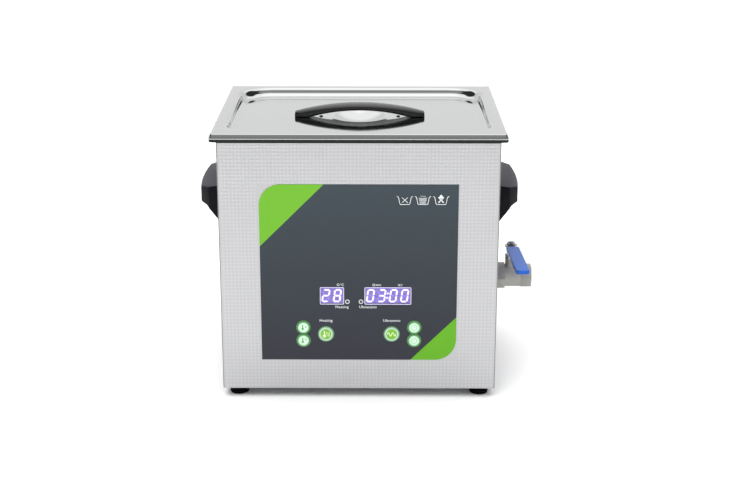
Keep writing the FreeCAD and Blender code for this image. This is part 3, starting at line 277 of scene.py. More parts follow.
def printed_panel():
    """Slate panel with two green corners, laid out about the middle of the case."""
    f = Finish("panel_print")
    x, _, z = f.axes()
    x = f.sum("SUBTRACT", x, CASE_X)
    fall = f.sum("DIVIDE", f.sum("SUBTRACT", z, panel_lo.z), panel_hi.z - panel_lo.z)
    ground = f.ramp(fall, (0.0, "2b2a34"), (0.5, "2e343b"), (1.0, "343f45"))
    upper_reach, lower_reach = 0.0745, 0.054
    rise = f.sum("SUBTRACT", z, x)
    in_upper = f.sum("GREATER_THAN", rise, panel_hi.z - (panel_lo.x - CASE_X) - upper_reach)
    in_lower = f.sum("LESS_THAN", rise, panel_lo.z - (panel_hi.x - CASE_X) + lower_reach)
    greens = f.mix(in_lower, "69ac25", "5fa618")
    corner = f.sum("MAXIMUM", in_upper, in_lower)
    speck = f.noise(2600.0, 2.0)
    base = f.mix(corner, ground, greens)
    f.set(Base_Color=f.mix(f.spread(speck, 0.0, 0.04), base, "9aa0a6"))
    f.set(Roughness=f.spread(f.noise(900.0, 3.0), 0.46, 0.6), Specular_IOR_Level=0.22)
    f.relief(speck, 0.000008)
    return f.mat


def clear_window():
    """Thin clear window: mostly see-through, with a soft surface gloss."""
    f = Finish("window_clear")
    through = f.add("ShaderNodeBsdfTransparent")
    gloss = f.add("ShaderNodeBsdfGlossy")
    haze = f.noise(500.0, 3.0)
    tint = f.ramp(haze, (0.3, (0.90, 0.89, 0.97, 1.0)), (0.7, (0.96, 0.95, 1.0, 1.0)))
    f.join(tint, through.inputs["Color"])
    f.join(f.spread(haze, 0.06, 0.12), gloss.inputs["Roughness"])
    facing = f.add("ShaderNodeLayerWeight")
    facing.inputs["Blend"].default_value = 0.5
    edge = f.sum("MULTIPLY_ADD", f.sum("POWER", facing.outputs["Facing"], 5.0), 0.8, 0.03)
    blend = f.add("ShaderNodeMixShader")
    f.join(edge, blend.inputs[0])
    f.join(through.outputs[0], blend.inputs[1])
    f.join(gloss.outputs[0], blend.inputs[2])
    f.join(blend.outputs[0], f.out.inputs["Surface"])
    return f.mat


def glowing(name, dark, light, strength, scale, base):
    """A lit surface with slightly uneven light."""
    f = Finish(name)
    cloud = f.noise(scale, 3.0)
    f.set(Base_Color=f.mix(cloud, base, "a39acb"), Roughness=f.spread(cloud, 0.45, 0.6))
    f.set(Emission_Color=f.mix(cloud, dark, light), Emission_Strength=strength)
    return f.mat


def ink(name, dark, light, glow=0.0):
    """Screen-printed ink with a faintly uneven edge coat."""
    f = Finish(name)
    grain = f.noise(3000.0, 2.0)
    f.set(Base_Color=f.mix(grain, dark, light), Roughness=f.spread(grain, 0.45, 0.62))
    if glow:
        f.set(Emission_Color=f.mix(grain, dark, light), Emission_Strength=glow)
    f.relief(grain, 0.000006)
    return f.mat


def button_middle(name):
    """A button's middle in millimetres: across from the middle of the case, and up."""
    low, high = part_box("button_" + name)
    return ((low.x + high.x) / 2 - CASE_X) / MM, (low.z + high.z) / 2 / MM


def push_cap(name, buttons, rings):
    """Button cap coloured in rings about its middle; left and right caps share the recipe."""
    f = Finish(name)
    x, _, z = f.axes()
    x = f.sum("ABSOLUTE", f.sum("SUBTRACT", x, CASE_X))
    places = [button_middle(button) for button in buttons]
    dx = f.sum("SUBTRACT", x, abs(places[0][0]) * MM)
    dz = f.sum("SUBTRACT", z, places[0][1] * MM)
    for _, height in places[1:]:
        other = f.sum("ABSOLUTE", f.sum("SUBTRACT", z, height * MM))
        dz = f.sum("MINIMUM", f.sum("ABSOLUTE", dz), other)
    away = f.sum("SQRT", f.sum("ADD", f.sum("MULTIPLY", dx, dx), f.sum("MULTIPLY", dz, dz)))
    colour = f.ramp(f.sum("DIVIDE", away, 10 * MM), *rings)
    film = f.noise(1800.0, 3.0)
    f.set(Base_Color=f.mix(f.spread(film, 0.0, 0.04), colour, "ffffff"))
    f.set(Roughness=f.spread(film, 0.36, 0.5), Specular_IOR_Level=0.25)
    f.relief(film, 0.00001)
    return f.mat


def board_finish():
    """Green circuit board with tracks and pads under the lacquer."""
    f = Finish("board_green")
    tracks = f.cells(170.0, where=f.stretched((1.0, 1.0, 1.6)), feature="DISTANCE_TO_EDGE")
    lines = f.sum("LESS_THAN", tracks, 0.05)
    weave = f.noise(1500.0, 2.0)
    ground = f.mix(weave, "0d4a24", "14602f")
    f.set(Base_Color=f.mix(lines, ground, "2f8a4a"), Roughness=f.spread(weave, 0.3, 0.42))
    f.relief(lines, 0.00003)
    return f.mat


def wound_finish():
    """Enamelled copper wire, wound close round the core."""
    f = Finish("winding_copper")
    turns = f.add("ShaderNodeTexWave", wave_type="BANDS", bands_direction="X")
    f.join(f.place, turns.inputs["Vector"])
    turns.inputs["Scale"].default_value = 260.0
    turns.inputs["Distortion"].default_value = 0.6
    wire = turns.outputs["Fac"]
    f.set(Metallic=0.9, Base_Color=f.mix(wire, "5c2410", "c06a30"))
    f.set(Roughness=f.spread(wire, 0.28, 0.45))
    f.relief(wire, 0.0002)
    return f.mat


def wire_finish():
    """Insulated leads whose colour changes from one lead to the next."""
    f = Finish("wire_insulation")
    pick = f.noise(9.0, 0.0)
    colours = f.ramp(pick, (0.36, "7a1512"), (0.45, "1d1d1f"), (0.52, "c9a514"), (0.6, "1e3f8a"))
    skin = f.noise(900.0, 2.0)
    f.set(Base_Color=colours, Roughness=f.spread(skin, 0.38, 0.5))
    f.relief(skin, 0.00002)
    return f.mat


BRUSHED = {
    "panel_steel": ("b9babc", "c9cacc", 0.34, (1, 1, 0.08)),
    "base_steel": ("a9abad", "bcbec0", 0.42, (0.1, 1, 1)),
    "screw_steel": ("b4b6b8", "d2d4d6", 0.26),
    "tank_steel": ("c3c5c7", "d6d8da", 0.24, (1, 1, 0.3), 0.000004),
    "pipe_steel": ("b4b5b6", "c9cacb", 0.3),
    "horn_aluminium": ("b6b8bb", "cccfd2", 0.3, (1, 1, 0.1)),
    "tail_steel": ("8f9194", "a5a7aa", 0.33, (1, 1, 0.1)),
    "bolt_steel": ("55575a", "6a6c6f", 0.36),
    "thermostat_metal": ("a8a9ab", "c3c4c6", 0.3, (1, 1, 0.2)),
    "nut_steel": ("8f9093", "b9babc", 0.25),
    "lever_steel": ("a9aaac", "c4c5c7", 0.3, (0.1, 1, 1)),
    "spacer_brass": ("a8842f", "c9a348", 0.3, (1, 0.1, 1)),
    "sink_aluminium": ("8d9092", "a4a7aa", 0.38, (1, 1, 0.1)),
    "pin_brass": ("b99a4c", "d6b866", 0.22, (1, 0.1, 1)),
    "guard_wire": ("b9bbbd", "d6d8da", 0.2),
}
MOULDED = {
    "foot_rubber": ("030304", "070708", 0.7, 1500.0, 0.00005, 0.04),
    # edging_rubber is the black edging on the tank's flange; its near-black is partly real rubber
    # and partly painted shade for the gap under the lid's edge
    "edging_rubber": ("08080a", "101012", 0.5, 1700.0, 0.00003, 0.35),
    "ring_ceramic": ("5d5a4e", "6c685b", 0.55, 900.0, 0.00004),
    "heater_silicone": ("a8421c", "bb5024", 0.6, 500.0, 0.00012, 0.3),
    "seat_white": ("dddcd6", "e8e7e2", 0.4, 1200.0, 0.00001),
    "sleeve_blue": ("0f54b0", "165cba", 0.26, 900.0, 0.00002, 0.3),
    "lamp_lens": ("4b4a58", "5a5968", 0.25, 800.0, 0.00001),
    "switch_black": ("121214", "1d1d20", 0.45),
    "capacitor_sleeve": ("101c3c", "18264c", 0.35, 1200.0, 0.00001),
    # grip_plastic's last colour, 36353f, is the painted sheen on the grips' upper faces
    "grip_plastic": ("07060c", "0e0d14", 0.42, 1300.0, 0.00004, 0.1, "36353f"),
    "bow_plastic": ("060608", "0c0c0f", 0.22, 1500.0, 0.000012, 0.5),
    "inlet_plastic": ("0d0d0f", "17171a", 0.4),
    "rocker_plastic": ("0e0e10", "18181b", 0.33, 1500.0, 0.00002),
    "fan_plastic": ("0f0f11", "1b1b1e", 0.45),
}
# the dots' finish is the case steel painted paler: a painted highlight for the light the raised
# dots catch
LINEN = {"linen_steel": ("b4b4b5", "bfbfc1"), "linen_dot": ("bebec0", "c9c9cb")}
POLISHED = {"ball_steel": ("d6d7d8", 0.08), "lid_steel": ("c8cac9", 0.05)}
INKS = {
    "ink_white": ("d9dcde", "eef0f1"),
    # ink_lilac's last number is a faint painted glow on the printed window frames
    "ink_lilac": ("cfc6ee", "e6e0fa", 0.35),
    "ink_halo": ("4c8440", "5a9647"),
    "ink_green": ("4aa04c", "59b058"),
    "ink_pale_green": ("86c194", "98cca4"),
    "ink_cream": ("d8ecb4", "e4f4c8"),
}
LIT_SURFACES = {
    "display_face": ("5230a4", "5c3cb0", 0.42, 700.0, "463480"),
    "digit_lit": ("f2e8fc", "ffffff", 1.05, 1500.0, "f4f0fc"),
    "digit_dim": ("7a5cc8", "8468d0", 0.5, 1500.0, "6a5ab0"),
    "digit_glow": ("8a68d4", "9474d8", 0.6, 1500.0, "6a5ab0"),
}
MINT_RINGS = (
    (0.0, "d6ebd6"), (0.44, "cee6d0"), (0.56, "b9ddc3"), (0.64, "6fb57e"), (0.72, "3f7f4b"),
)
GREEN_RINGS = (
    (0.0, "76b818"), (0.6, "6cab16"), (0.66, "b3d8bb"), (0.78, "a5c4ae"), (0.88, "7f9f88"),
)

FINISHES = {
    "valve_steel": cast("valve_steel", "9a9995", "aeada9", 0.62),
    "panel_print": printed_panel(),
    "window_clear": clear_window(),
    "board_green": board_finish(),
    "winding_copper": wound_finish(),
    "wire_insulation": wire_finish(),
    "cap_mint": push_cap("cap_mint", ("temp_up", "temp_down"), MINT_RINGS),
    "cap_green": push_cap("cap_green", ("ultrasonic",), GREEN_RINGS),
}
RECIPES = (
    (brushed, BRUSHED), (moulded, MOULDED), (linen, LINEN),
    (polished, POLISHED), (ink, INKS), (glowing, LIT_SURFACES),
)
for make, table in RECIPES:
    FINISHES.update({slot: make(slot, *recipe) for slot, recipe in table.items()})

for part in frame["record"]["subparts"]:
    for cad_slot in nodes[part["node"]].material_slots:
        cad_slot.material = FINISHES[part["material_slot"]]


# ---- making pieces ---------------------------------------------------------------------


def piece(name, mesh, finish, body="case", stands_for=(), smooth=None):
    """A finished object at the origin, riding on a body and taking a named finish."""
    made = bpy.data.objects.new(name, mesh)
    bpy.context.scene.collection.objects.link(made)
    if not mesh.materials:
        mesh.materials.append(FINISHES[finish])
    if smooth is not None:
        soften(mesh, smooth)
    if stands_for:
        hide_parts(*stands_for)
    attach(made, body)
    return made


def soften(mesh, degrees):
    """Smooth shading, with edges sharper than an angle kept crisp."""
    mesh.shade_smooth()
    mesh.set_sharp_from_angle(angle=math.radians(degrees))


def from_lists(name, points, faces):
    """A mesh from millimetre points about the middle of the case, doubles merged, facing out."""
    mesh = bpy.data.meshes.new(name)
    mesh.from_pydata([at(*p) for p in points], [], faces)
    tidy(mesh)
    return mesh


def tidy(mesh, reach=1e-6):
    """Merges doubled points and turns the faces outwards."""
    work = bmesh.new()
    work.from_mesh(mesh)
    bmesh.ops.remove_doubles(work, verts=work.verts, dist=reach)
    bmesh.ops.recalc_face_normals(work, faces=work.faces)
    work.to_mesh(mesh)
    work.free()
    mesh.update()


def baked(made):
    """The object's mesh with its modifiers worked in, and the modifiers removed."""
    graph = bpy.context.evaluated_depsgraph_get()
    mesh = bpy.data.meshes.new_from_object(made.evaluated_get(graph), depsgraph=graph)
    made.modifiers.clear()
    made.data = mesh
    return mesh


def rounded_ring(hx, hy, r, z):
    """Points round a rounded rectangle, the same number whatever its size."""
    per_corner, per_side = 14, 6
    points = []
    corners = ((1, 1, 0), (-1, 1, 90), (-1, -1, 180), (1, -1, 270))
    for index, (sx, sy, turn) in enumerate(corners):
        for k in range(per_corner):
            a = math.radians(turn + 90 * k / (per_corner - 1))
            points.append((sx * (hx - r) + r * math.cos(a), sy * (hy - r) + r * math.sin(a), z))
        nx, ny, nturn = corners[(index + 1) % 4]
        a = math.radians(nturn)
        ahead = (nx * (hx - r) + r * math.cos(a), ny * (hy - r) + r * math.sin(a), z)
        last = points[-1]
        for k in range(1, per_side + 1):
            t = k / (per_side + 1)
            points.append(tuple(last[i] + (ahead[i] - last[i]) * t for i in range(3)))
    return points


def skinned(rings, close_last=True):
    """Points and faces of a skin over rings of equal length."""
    count = len(rings[0])
    points = [p for ring in rings for p in ring]
    faces = []
    for level in range(len(rings) - 1):
        for k in range(count):
            a = level * count + k
            b = level * count + (k + 1) % count
            faces.append((a, b, b + count, a + count))
    if close_last:
        middle = [sum(p[i] for p in rings[-1]) / count for i in range(3)]
        points.append(tuple(middle))
        start = (len(rings) - 1) * count
        faces += [(start + k, start + (k + 1) % count, len(points) - 1) for k in range(count)]
    return points, faces


def round_path(x, z, r, steps):
    """Points evenly round a circle."""
    turns = [math.tau * k / steps for k in range(steps)]
    return [(x + r * math.cos(a), z + r * math.sin(a)) for a in turns]


def arc(cx, cz, r, start, end, steps):
    """Points of a circle's arc in a section, angles in degrees."""
    return [
        (cx + r * math.cos(math.radians(start + (end - start) * k / steps)),
         cz + r * math.sin(math.radians(start + (end - start) * k / steps)))
        for k in range(steps + 1)
    ]


# ---- the lid ---------------------------------------------------------------------------

lid_half_x = (lid_hi.x - lid_lo.x) / 2 / MM
lid_half_y = (lid_hi.y - lid_lo.y) / 2 / MM
lid_top = lid_hi.z / MM
lid_floor = bow_lo.z / MM


def lid_sheet():
    """Pressed lid: flared edge, rolled recess and round dish, as one sheet with thickness."""
    # pairs in edge and outer: how far in from the lid's edge, and how far down from its top
    edge = [(0.0, -5.9), (0.0, -4.95), (0.15, -4.6), (1.1, -2.7), (2.0, -0.95)]
    edge += [(2.3, -0.45), (2.75, -0.12), (3.4, 0.0), (8.5, 0.0)]
    rim, slope, crest, trough = 12.5, 65, 6.0, 9.0
    edge_r, recess_r = 5.0, 44.0
    outer = list(edge)
    tilt = math.radians(slope)
    outer += arc(rim, -crest, crest, 90, 90 - slope, 12)
    straight = lid_top - lid_floor + outer[-1][1] - trough * (1 - math.cos(tilt))
    foot_x = outer[-1][0] + straight / math.tan(tilt) + trough * math.sin(tilt)
    outer += arc(foot_x, lid_floor - lid_top + trough, trough, 270 - slope, 270, 12)
    rings = []
    for inset, drop in outer:
        r = edge_r - min(inset, 3.5)
        if inset >= rim:
            r = recess_r - (inset - rim) * 0.8
        elif inset == edge[-1][0]:
            r = edge_r
        rings.append(rounded_ring(lid_half_x - inset, lid_half_y - inset, r, lid_top + drop))
    floor_z = lid_top + outer[-1][1]
    dish_r, depth, lip, bead = 31.5, 9.0, 2.6, 0.22
    sphere_r = (dish_r**2 + depth**2) / (2 * depth)
    rim_angle = math.degrees(math.asin((dish_r - lip * 0.2) / sphere_r))
    lip_x = dish_r - lip * 0.2 + lip * math.sin(math.radians(rim_angle))
    # pairs in profile: radius from the dish's middle, and height over the lid's floor
    profile = [(46.0, 0.0), (36.6, 0.0), (36.0, 0.03), (35.0, 0.12), (33.8, 0.21)]
    profile += [(x, bead + z) for x, z in arc(lip_x, -lip, lip, 90, 90 + rim_angle, 8)]
    edge_x, edge_z = profile[-1]
    angle0 = math.asin(edge_x / sphere_r)
    dish_rings = 13
    for k in range(1, dish_rings):
        a = angle0 * (1 - k / dish_rings)
        fall = sphere_r * (math.cos(a) - math.cos(angle0))
        profile.append((sphere_r * math.sin(a), edge_z - fall))
    rings.append(rounded_ring(96.0, 74.0, 40.0, floor_z))
    rings += [rounded_ring(r, r, r, floor_z + z) for r, z in profile]
    mesh = from_lists("lid_sheet", *skinned(rings))
    made = piece("lid_sheet", mesh, "lid_steel", "lid", ("lid_pan",))
    shell = made.modifiers.new("sheet", "SOLIDIFY")
    shell.thickness = 1.0 * MM
    shell.offset = -1.0
    shell.use_quality_normals = True
    soften(baked(made), 50)


lid_sheet()


def lid_pips():
    """Two small domed pips pressed up in the lid's floor, under the bow's ends."""
    points, faces = [], []
    dome = ((2.6, 0.0), (2.5, 0.35), (2.1, 0.8), (1.5, 1.15), (0.8, 1.35))
    for x in (-47.0, 47.0):
        rings = [[(px, py, lid_floor + z) for px, py in round_path(x, 0.0, r, 20)] for r, z in dome]
        more, sides = skinned(rings)
        faces += [tuple(len(points) + i for i in side) for side in sides]
        points += more
    piece("lid_pips", from_lists("lid_pips", points, faces), "lid_steel", "lid", smooth=60)


lid_pips()


def bow():
    """Arched bow handle: a crowned blade that widens to the middle, on two square feet."""
    half = (bow_hi.x - bow_lo.x) / 2 / MM
    top = bow_hi.z / MM - lid_floor - 0.9
    foot_in = 63.0
    clear = 9.9

    def rise(x, reach, low, high):
        """Height of a circular arch at x."""
        sag = high - low
        r = (reach**2 + sag**2) / (2 * sag)
        return high - r + math.sqrt(max(r * r - x * x, 0.0))

    def section(x, shrink):
        upper = rise(x, half, 6.5, top) - shrink
        lower = rise(x, foot_in, 0.0, clear) if abs(x) < foot_in else 0.0
        lower += shrink if abs(x) < foot_in else 0.0
        w = rise(x, half, 8.0, 13.3) - shrink
        crown = min(2.4, (upper - lower) * 0.4)
        chamfer = min(1.6, (upper - lower) * 0.3)
        side = [(w, lower + chamfer), (w, upper - crown * 1.25)]
        side += [(w - 0.3, upper - crown * 1.02), (w - 1.0, upper - crown * 0.82)]
        side += [(w * 0.82, upper - crown * 0.50), (w * 0.62, upper - crown * 0.25)]
        side += [(w * 0.36, upper - crown * 0.06), (0.0, upper)]
        ring = [(x, y, lid_floor + z) for y, z in side]
        ring += [(x, -y, lid_floor + z) for y, z in reversed(side[:-1])]
        low = [(-(w - chamfer * 0.9), lower), (-(w * 0.5), lower), (0.0, lower)]
        low += [(w * 0.5, lower), (w - chamfer * 0.9, lower)]
        return ring + [(x, y, lid_floor + z) for y, z in low]

    rounded_end = ((0.05, 1.0), (0.5, 0.35), (1.2, 0.0))
    groove = ((4.6, 0.0), (4.9, 0.55), (5.6, 0.55), (5.9, 0.0))
    walk = [(half - inset, shrink) for inset, shrink in rounded_end + groove]
    arch = (70.0, 63.001, 62.99, 62.0, 60.4, 58.0, 55.0, 51.0, 45.0, 38.0, 30.0, 21.0, 11.0, 0.0)
    walk += [(x, 0.0) for x in arch]
    walk += [(-x, shrink) for x, shrink in reversed(walk[:-1])]
    rings = [section(x, shrink) for x, shrink in walk]
    points, faces = skinned(rings, close_last=False)
    count = len(rings[0])
    faces.append(tuple(range(count)))
    faces.append(tuple(range((len(rings) - 1) * count, len(rings) * count)))
    piece("bow", from_lists("bow", points, faces), "bow_plastic", "lid", ("lid_handle",), smooth=32)


bow()


# ---- flat printed detail ---------------------------------------------------------------


def ribbon(path, width, closed=False):
    """Left and right edges of a flat line of constant width along a path in the panel's plane."""
    count = len(path)
    left, right = [], []
    for k in range(count):
        before = path[k - 1] if closed or k else None
        after = path[(k + 1) % count] if closed or k < count - 1 else None
        dirs = []
        for a, b in ((before, path[k]), (path[k], after)):
            if a is not None and b is not None:
                d = Vector((b[0] - a[0], b[1] - a[1]))
                dirs.append(d.normalized())
        d = sum(dirs, Vector((0, 0))).normalized()
        side = Vector((-d.y, d.x))
        reach = width / 2 / max(0.5, abs(side.dot(Vector((-dirs[0].y, dirs[0].x)))))
        left.append((path[k][0] + side.x * reach, path[k][1] + side.y * reach))
        right.append((path[k][0] - side.x * reach, path[k][1] - side.y * reach))
    return left, right


class Print:
    """Raised flat marks collected into one mesh, drawn in millimetres on an upright plane."""

    def __init__(self, y, thick=0.09):
        self.front = y - thick
        self.back = y
        self.points = []
        self.faces = []

    def solid(self, outline):
        """A filled outline."""
        base = len(self.points)
        count = len(outline)
        self.points += [(x, self.front, z) for x, z in outline]
        self.points += [(x, self.back, z) for x, z in outline]
        self.faces.append(tuple(range(base, base + count)))
        for k in range(count):
            n = (k + 1) % count
            self.faces.append((base + k, base + n, base + count + n, base + count + k))

    def line(self, path, width, closed=False):
        left, right = ribbon(path, width, closed)
        count = len(path)
        steps = count if closed else count - 1
        base = len(self.points)
        for edge in (left, right):
            self.points += [(x, self.front, z) for x, z in edge]
        for edge in (left, right):
            self.points += [(x, self.back, z) for x, z in edge]
        for k in range(steps):
            n = (k + 1) % count
            self.faces.append((base + k, base + n, base + count + n, base + count + k))
            low = 2 * count
            for edge in (base, base + count):
                self.faces.append((edge + k, edge + n, edge + low + n, edge + low + k))
        if not closed:
            for k in (base, base + count - 1):
                self.faces.append((k, k + count, k + 3 * count, k + 2 * count))

    def ring(self, x, z, r, width, steps=40):
        self.line(round_path(x, z, r, steps), width, closed=True)

    def disc(self, x, z, r, steps):
        self.solid(round_path(x, z, r, steps))

    def words(self, text, x, z, height):
        """Plain lettering centred on x, its capitals of a given height on a baseline at z."""
        curve = bpy.data.curves.new("words", "FONT")
        curve.body = text
        curve.size = height * 1.36
        curve.align_x = "CENTER"
        curve.resolution_u = 2
        curve.space_character = 1.06
        curve.offset = 0.02
        writer = bpy.data.objects.new("words", curve)
        bpy.context.scene.collection.objects.link(writer)
        graph = bpy.context.evaluated_depsgraph_get()
        flat = bpy.data.meshes.new_from_object(writer.evaluated_get(graph))
        base = len(self.points)
        self.points += [(x + v.co.x, self.front, z + v.co.y) for v in flat.vertices]
        self.faces += [tuple(base + i for i in f.vertices) for f in flat.polygons]
        bpy.data.objects.remove(writer)
        bpy.data.curves.remove(curve)
        bpy.data.meshes.remove(flat)

    def made(self, name, finish, body="case"):
        """The collected marks as one piece, with every front face turned out of the panel."""
        mesh = bpy.data.meshes.new(name)
        mesh.from_pydata([at(*p) for p in self.points], [], self.faces)
        work = bmesh.new()
        work.from_mesh(mesh)
        bmesh.ops.remove_doubles(work, verts=work.verts, dist=1e-7)
        bmesh.ops.recalc_face_normals(work, faces=work.faces)
        near_front = (self.front + 0.01) * MM
        for face in work.faces:
            if face.normal.y > 0.9 and face.calc_center_median().y < near_front:
                face.normal_flip()
        work.to_mesh(mesh)
        work.free()
        return piece(name, mesh, finish, body)


def rounded_box(x0, x1, z0, z1, r):
    """Outline of a rounded rectangle in the panel's plane."""
    steps = 6
    outline = []
    middles = ((x1 - r, z1 - r), (x0 + r, z1 - r), (x0 + r, z0 + r), (x1 - r, z0 + r))
    for (cx, cz), turn in zip(middles, (0, 90, 180, 270)):
        for k in range(steps + 1):
            a = math.radians(turn + 90 * k / steps)
            outline.append((cx + r * math.cos(a), cz + r * math.sin(a)))
    return outline


def basin(pen, x, z, w, h):
    """Open basin outline with rounded lower corners and small turned-out lips."""
    wall = [(0.0, h), (1.0, h), (1.7, h - 0.5), (2.1, h - 1.3), (3.4, 1.3), (3.8, 0.5), (4.6, 0.0)]
    left = [(x + dx, z + dz) for dx, dz in wall]
    right = [(x + w - dx, z + dz) for dx, dz in reversed(wall)]
    pen.line(left + right, 0.62)


def panel_marks():
    """White marks: the three basin signs, unit signs, function words and lamp rings."""
    pen = Print(PANEL_Y / MM)
    z, h = 241.0, 9.4
    for x in (43.8, 64.5, 85.4):
        basin(pen, x, z, 18.6, h)
    empty, water, hand = 53.1, 73.8, 94.7
    for way in (1, -1):
        pen.line([(empty - 3.3, z + 5.2 - 3.1 * way), (empty + 3.3, z + 5.2 + 3.1 * way)], 0.6)
        pen.line([(hand - 3.1, z + 5.4 - 3.3 * way), (hand + 3.1, z + 5.4 + 3.3 * way)], 1.2)
    for k in range(5):
        reach = 3.5 + 0.32 * k
        level = z + 1.5 + 1.5 * k
        wave = [(water + reach * t / 6, level + (0.18 if t % 2 else -0.18)) for t in range(-6, 7)]
        pen.line(wave, 0.5)
    for x in (water - 2.2, water, water + 2.2):
        pen.line([(x, z + h), (x, z + h + 1.1)], 0.6)
    palm = ((0.0, 11.9), (1.4, 10.4), (2.2, 8.8), (0.0, 7.2), (-2.2, 8.8), (-1.4, 10.4))
    pen.solid([(hand + dx, z + dz) for dx, dz in palm])
    for x, lamp_z in ((-13.4, 122.2), (2.6, 122.2)):
        pen.ring(x, lamp_z, 2.25, 0.8, 28)
    for x, ring_z in ((-24.2, 143.2), (17.6, 143.0)):
        pen.ring(x, ring_z, 1.3, 0.5, 20)
    units_z, lamp_names_z, cap_names_z = 141.7, 114.2, 97.2
    pen.words("\u00b0C", -19.8, units_z, 3.1)
    pen.words("MIN", 22.9, units_z, 2.5)
    pen.words("SEC", 48.6, units_z, 2.5)
    pen.words("Heating", -19.8, lamp_names_z, 3.5)
    pen.words("Ultrasonic", 10.9, lamp_names_z, 3.5)
    pen.words("Heating", -38.8, cap_names_z, 3.4)
    pen.words("Ultrasonic", 38.8, cap_names_z, 3.4)
    pen.made("panel_marks", "ink_white")


panel_marks()


def screen_frames():
    """Pale rounded frames printed round both windows, in ink with a faint painted glow."""
    pen = Print(PANEL_Y / MM)
    for x0, x1 in SCREENS.values():
        pen.line(rounded_box(x0, x1, SCREEN_Z[0], SCREEN_Z[1], 0.9), 0.6, closed=True)
    pen.made("screen_frames", "ink_lilac")


screen_frames()

SEGMENTS = {
    "a": ((0, 2), (1, 2)), "b": ((1, 2), (1, 1)), "c": ((1, 1), (1, 0)), "d": ((0, 0), (1, 0)),
    "e": ((0, 1), (0, 0)), "f": ((0, 2), (0, 1)), "g": ((0, 1), (1, 1)),
}
LIT = {"0": "abcdef", "2": "abged", "3": "abgcd", "8": "abcdefg"}


def display_digits():
    """Seven-segment numbers just in front of the display modules."""
    face_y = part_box("display_modules")[0].y / MM
    lit = Print(face_y - 0.16, 0.06)
    dim = Print(face_y - 0.10, 0.05)
    glow = Print(face_y - 0.02, 0.05)
    height, width, thick, lean = 14.4, 7.1, 1.8, math.tan(math.radians(8))
    pitch, shift = 13.4, -1.4
    base = (SCREEN_Z[0] + SCREEN_Z[1]) / 2 - height / 2

    def bar(pen, start, end, grow):
        """One segment with pointed ends, leaned like the rest of its digit."""
        d = Vector((end[0] - start[0], end[1] - start[1]))
        length = d.length
        d.normalize()
        n = Vector((-d.y, d.x))
        half = thick / 2 + grow
        gap = 0.35 - grow
        corners = ((gap, 0), (gap + half, half), (length - gap - half, half),
                   (length - gap, 0), (length - gap - half, -half), (gap + half, -half))
        points = []
        for along, across in corners:
            p = Vector(start) + d * along + n * across
            points.append((p.x + (p.y - base) * lean, p.y))
        pen.solid(points)

    def digit(x, mark):
        for name, (a, b) in SEGMENTS.items():
            start = (x + a[0] * width, base + a[1] * height / 2)
            end = (x + b[0] * width, base + b[1] * height / 2)
            if name in LIT[mark]:
                bar(lit, start, end, 0.0)
                bar(glow, start, end, 0.5)
            else:
                bar(dim, start, end, -0.15)

    for side, marks in (("temp", "28"), ("timer", "0300")):
        middle = sum(SCREENS[side]) / 2 + shift
        for k, mark in enumerate(marks):
            digit(middle + (k - (len(marks) - 1) / 2) * pitch - width / 2, mark)
        if side == "timer":
            for share in (0.32, 0.70):
                z = base + height * share
                for pen, r in ((lit, 1.0), (glow, 1.75)):
                    pen.disc(middle + (z - base) * lean, z, r, 16)
    lit.made("digits_lit", "digit_lit")
    dim.made("digits_dim", "digit_dim")
    glow.made("digits_glow", "digit_glow")


display_digits()


def cap_marks():
    """The signs on the caps, each riding on its own button, and the halo rings round them."""
    halo = Print(PANEL_Y / MM, 0.06)
    for name in ("temp_up", "temp_down", "heating", "ultrasonic", "time_up", "time_down"):
        x, z = button_middle(name)
        large = name in ("heating", "ultrasonic")
        if large:
            halo.ring(x, z, 9.6, 0.5)
        else:
            halo.ring(x, z, 7.9, 1.2)
        pen = Print(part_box("button_" + name)[0].y / MM, 0.06)
        way = -1 if name.endswith("down") else 1
        if name.startswith("temp"):
            tube_x, arrow_z = x - 0.9, z + 1.2
            pen.line([(tube_x, z - 0.6), (tube_x, z + 3.4)], 1.3)
            pen.disc(tube_x, z - 1.7, 1.5, 20)
            arrow = ((1.5, -way), (3.9, -way), (2.7, 1.1 * way))
            pen.solid([(x + dx, arrow_z + dz) for dx, dz in arrow])
            ink_name = "ink_green"
        elif name.startswith("time"):
            pen.ring(x, z, 3.3, 0.75, 28)
            pen.line([(x, z + 2.0), (x, z), (x + 1.5 * way, z)], 0.65)
            ink_name = "ink_pale_green"
        elif name == "heating":
            tube_x = x - 1.9
            pen.line([(tube_x, z - 0.9), (tube_x, z + 3.9)], 1.5)
            pen.disc(tube_x, z - 2.3, 1.9, 20)
            for k in range(3):
                steam_x = x + 0.9 + 1.7 * k
                sway = [(0.45 * math.sin(math.pi * t / 4), 0.75 * t) for t in range(9)]
                pen.line([(steam_x + dx, z - 3.0 + dz) for dx, dz in sway], 0.5)
            ink_name = "ink_cream"
        else:
            wave = [(x - 5.0 + 0.5 * t, z + 2.2 * math.sin(math.tau * t / 10)) for t in range(21)]
            pen.line(wave, 0.85)
            ink_name = "ink_cream"
        pen.made("sign_" + name, ink_name, "button_" + name)
    halo.made("cap_halos", "ink_halo")


cap_marks()


# ---- repeated detail grown by rules ----------------------------------------------------


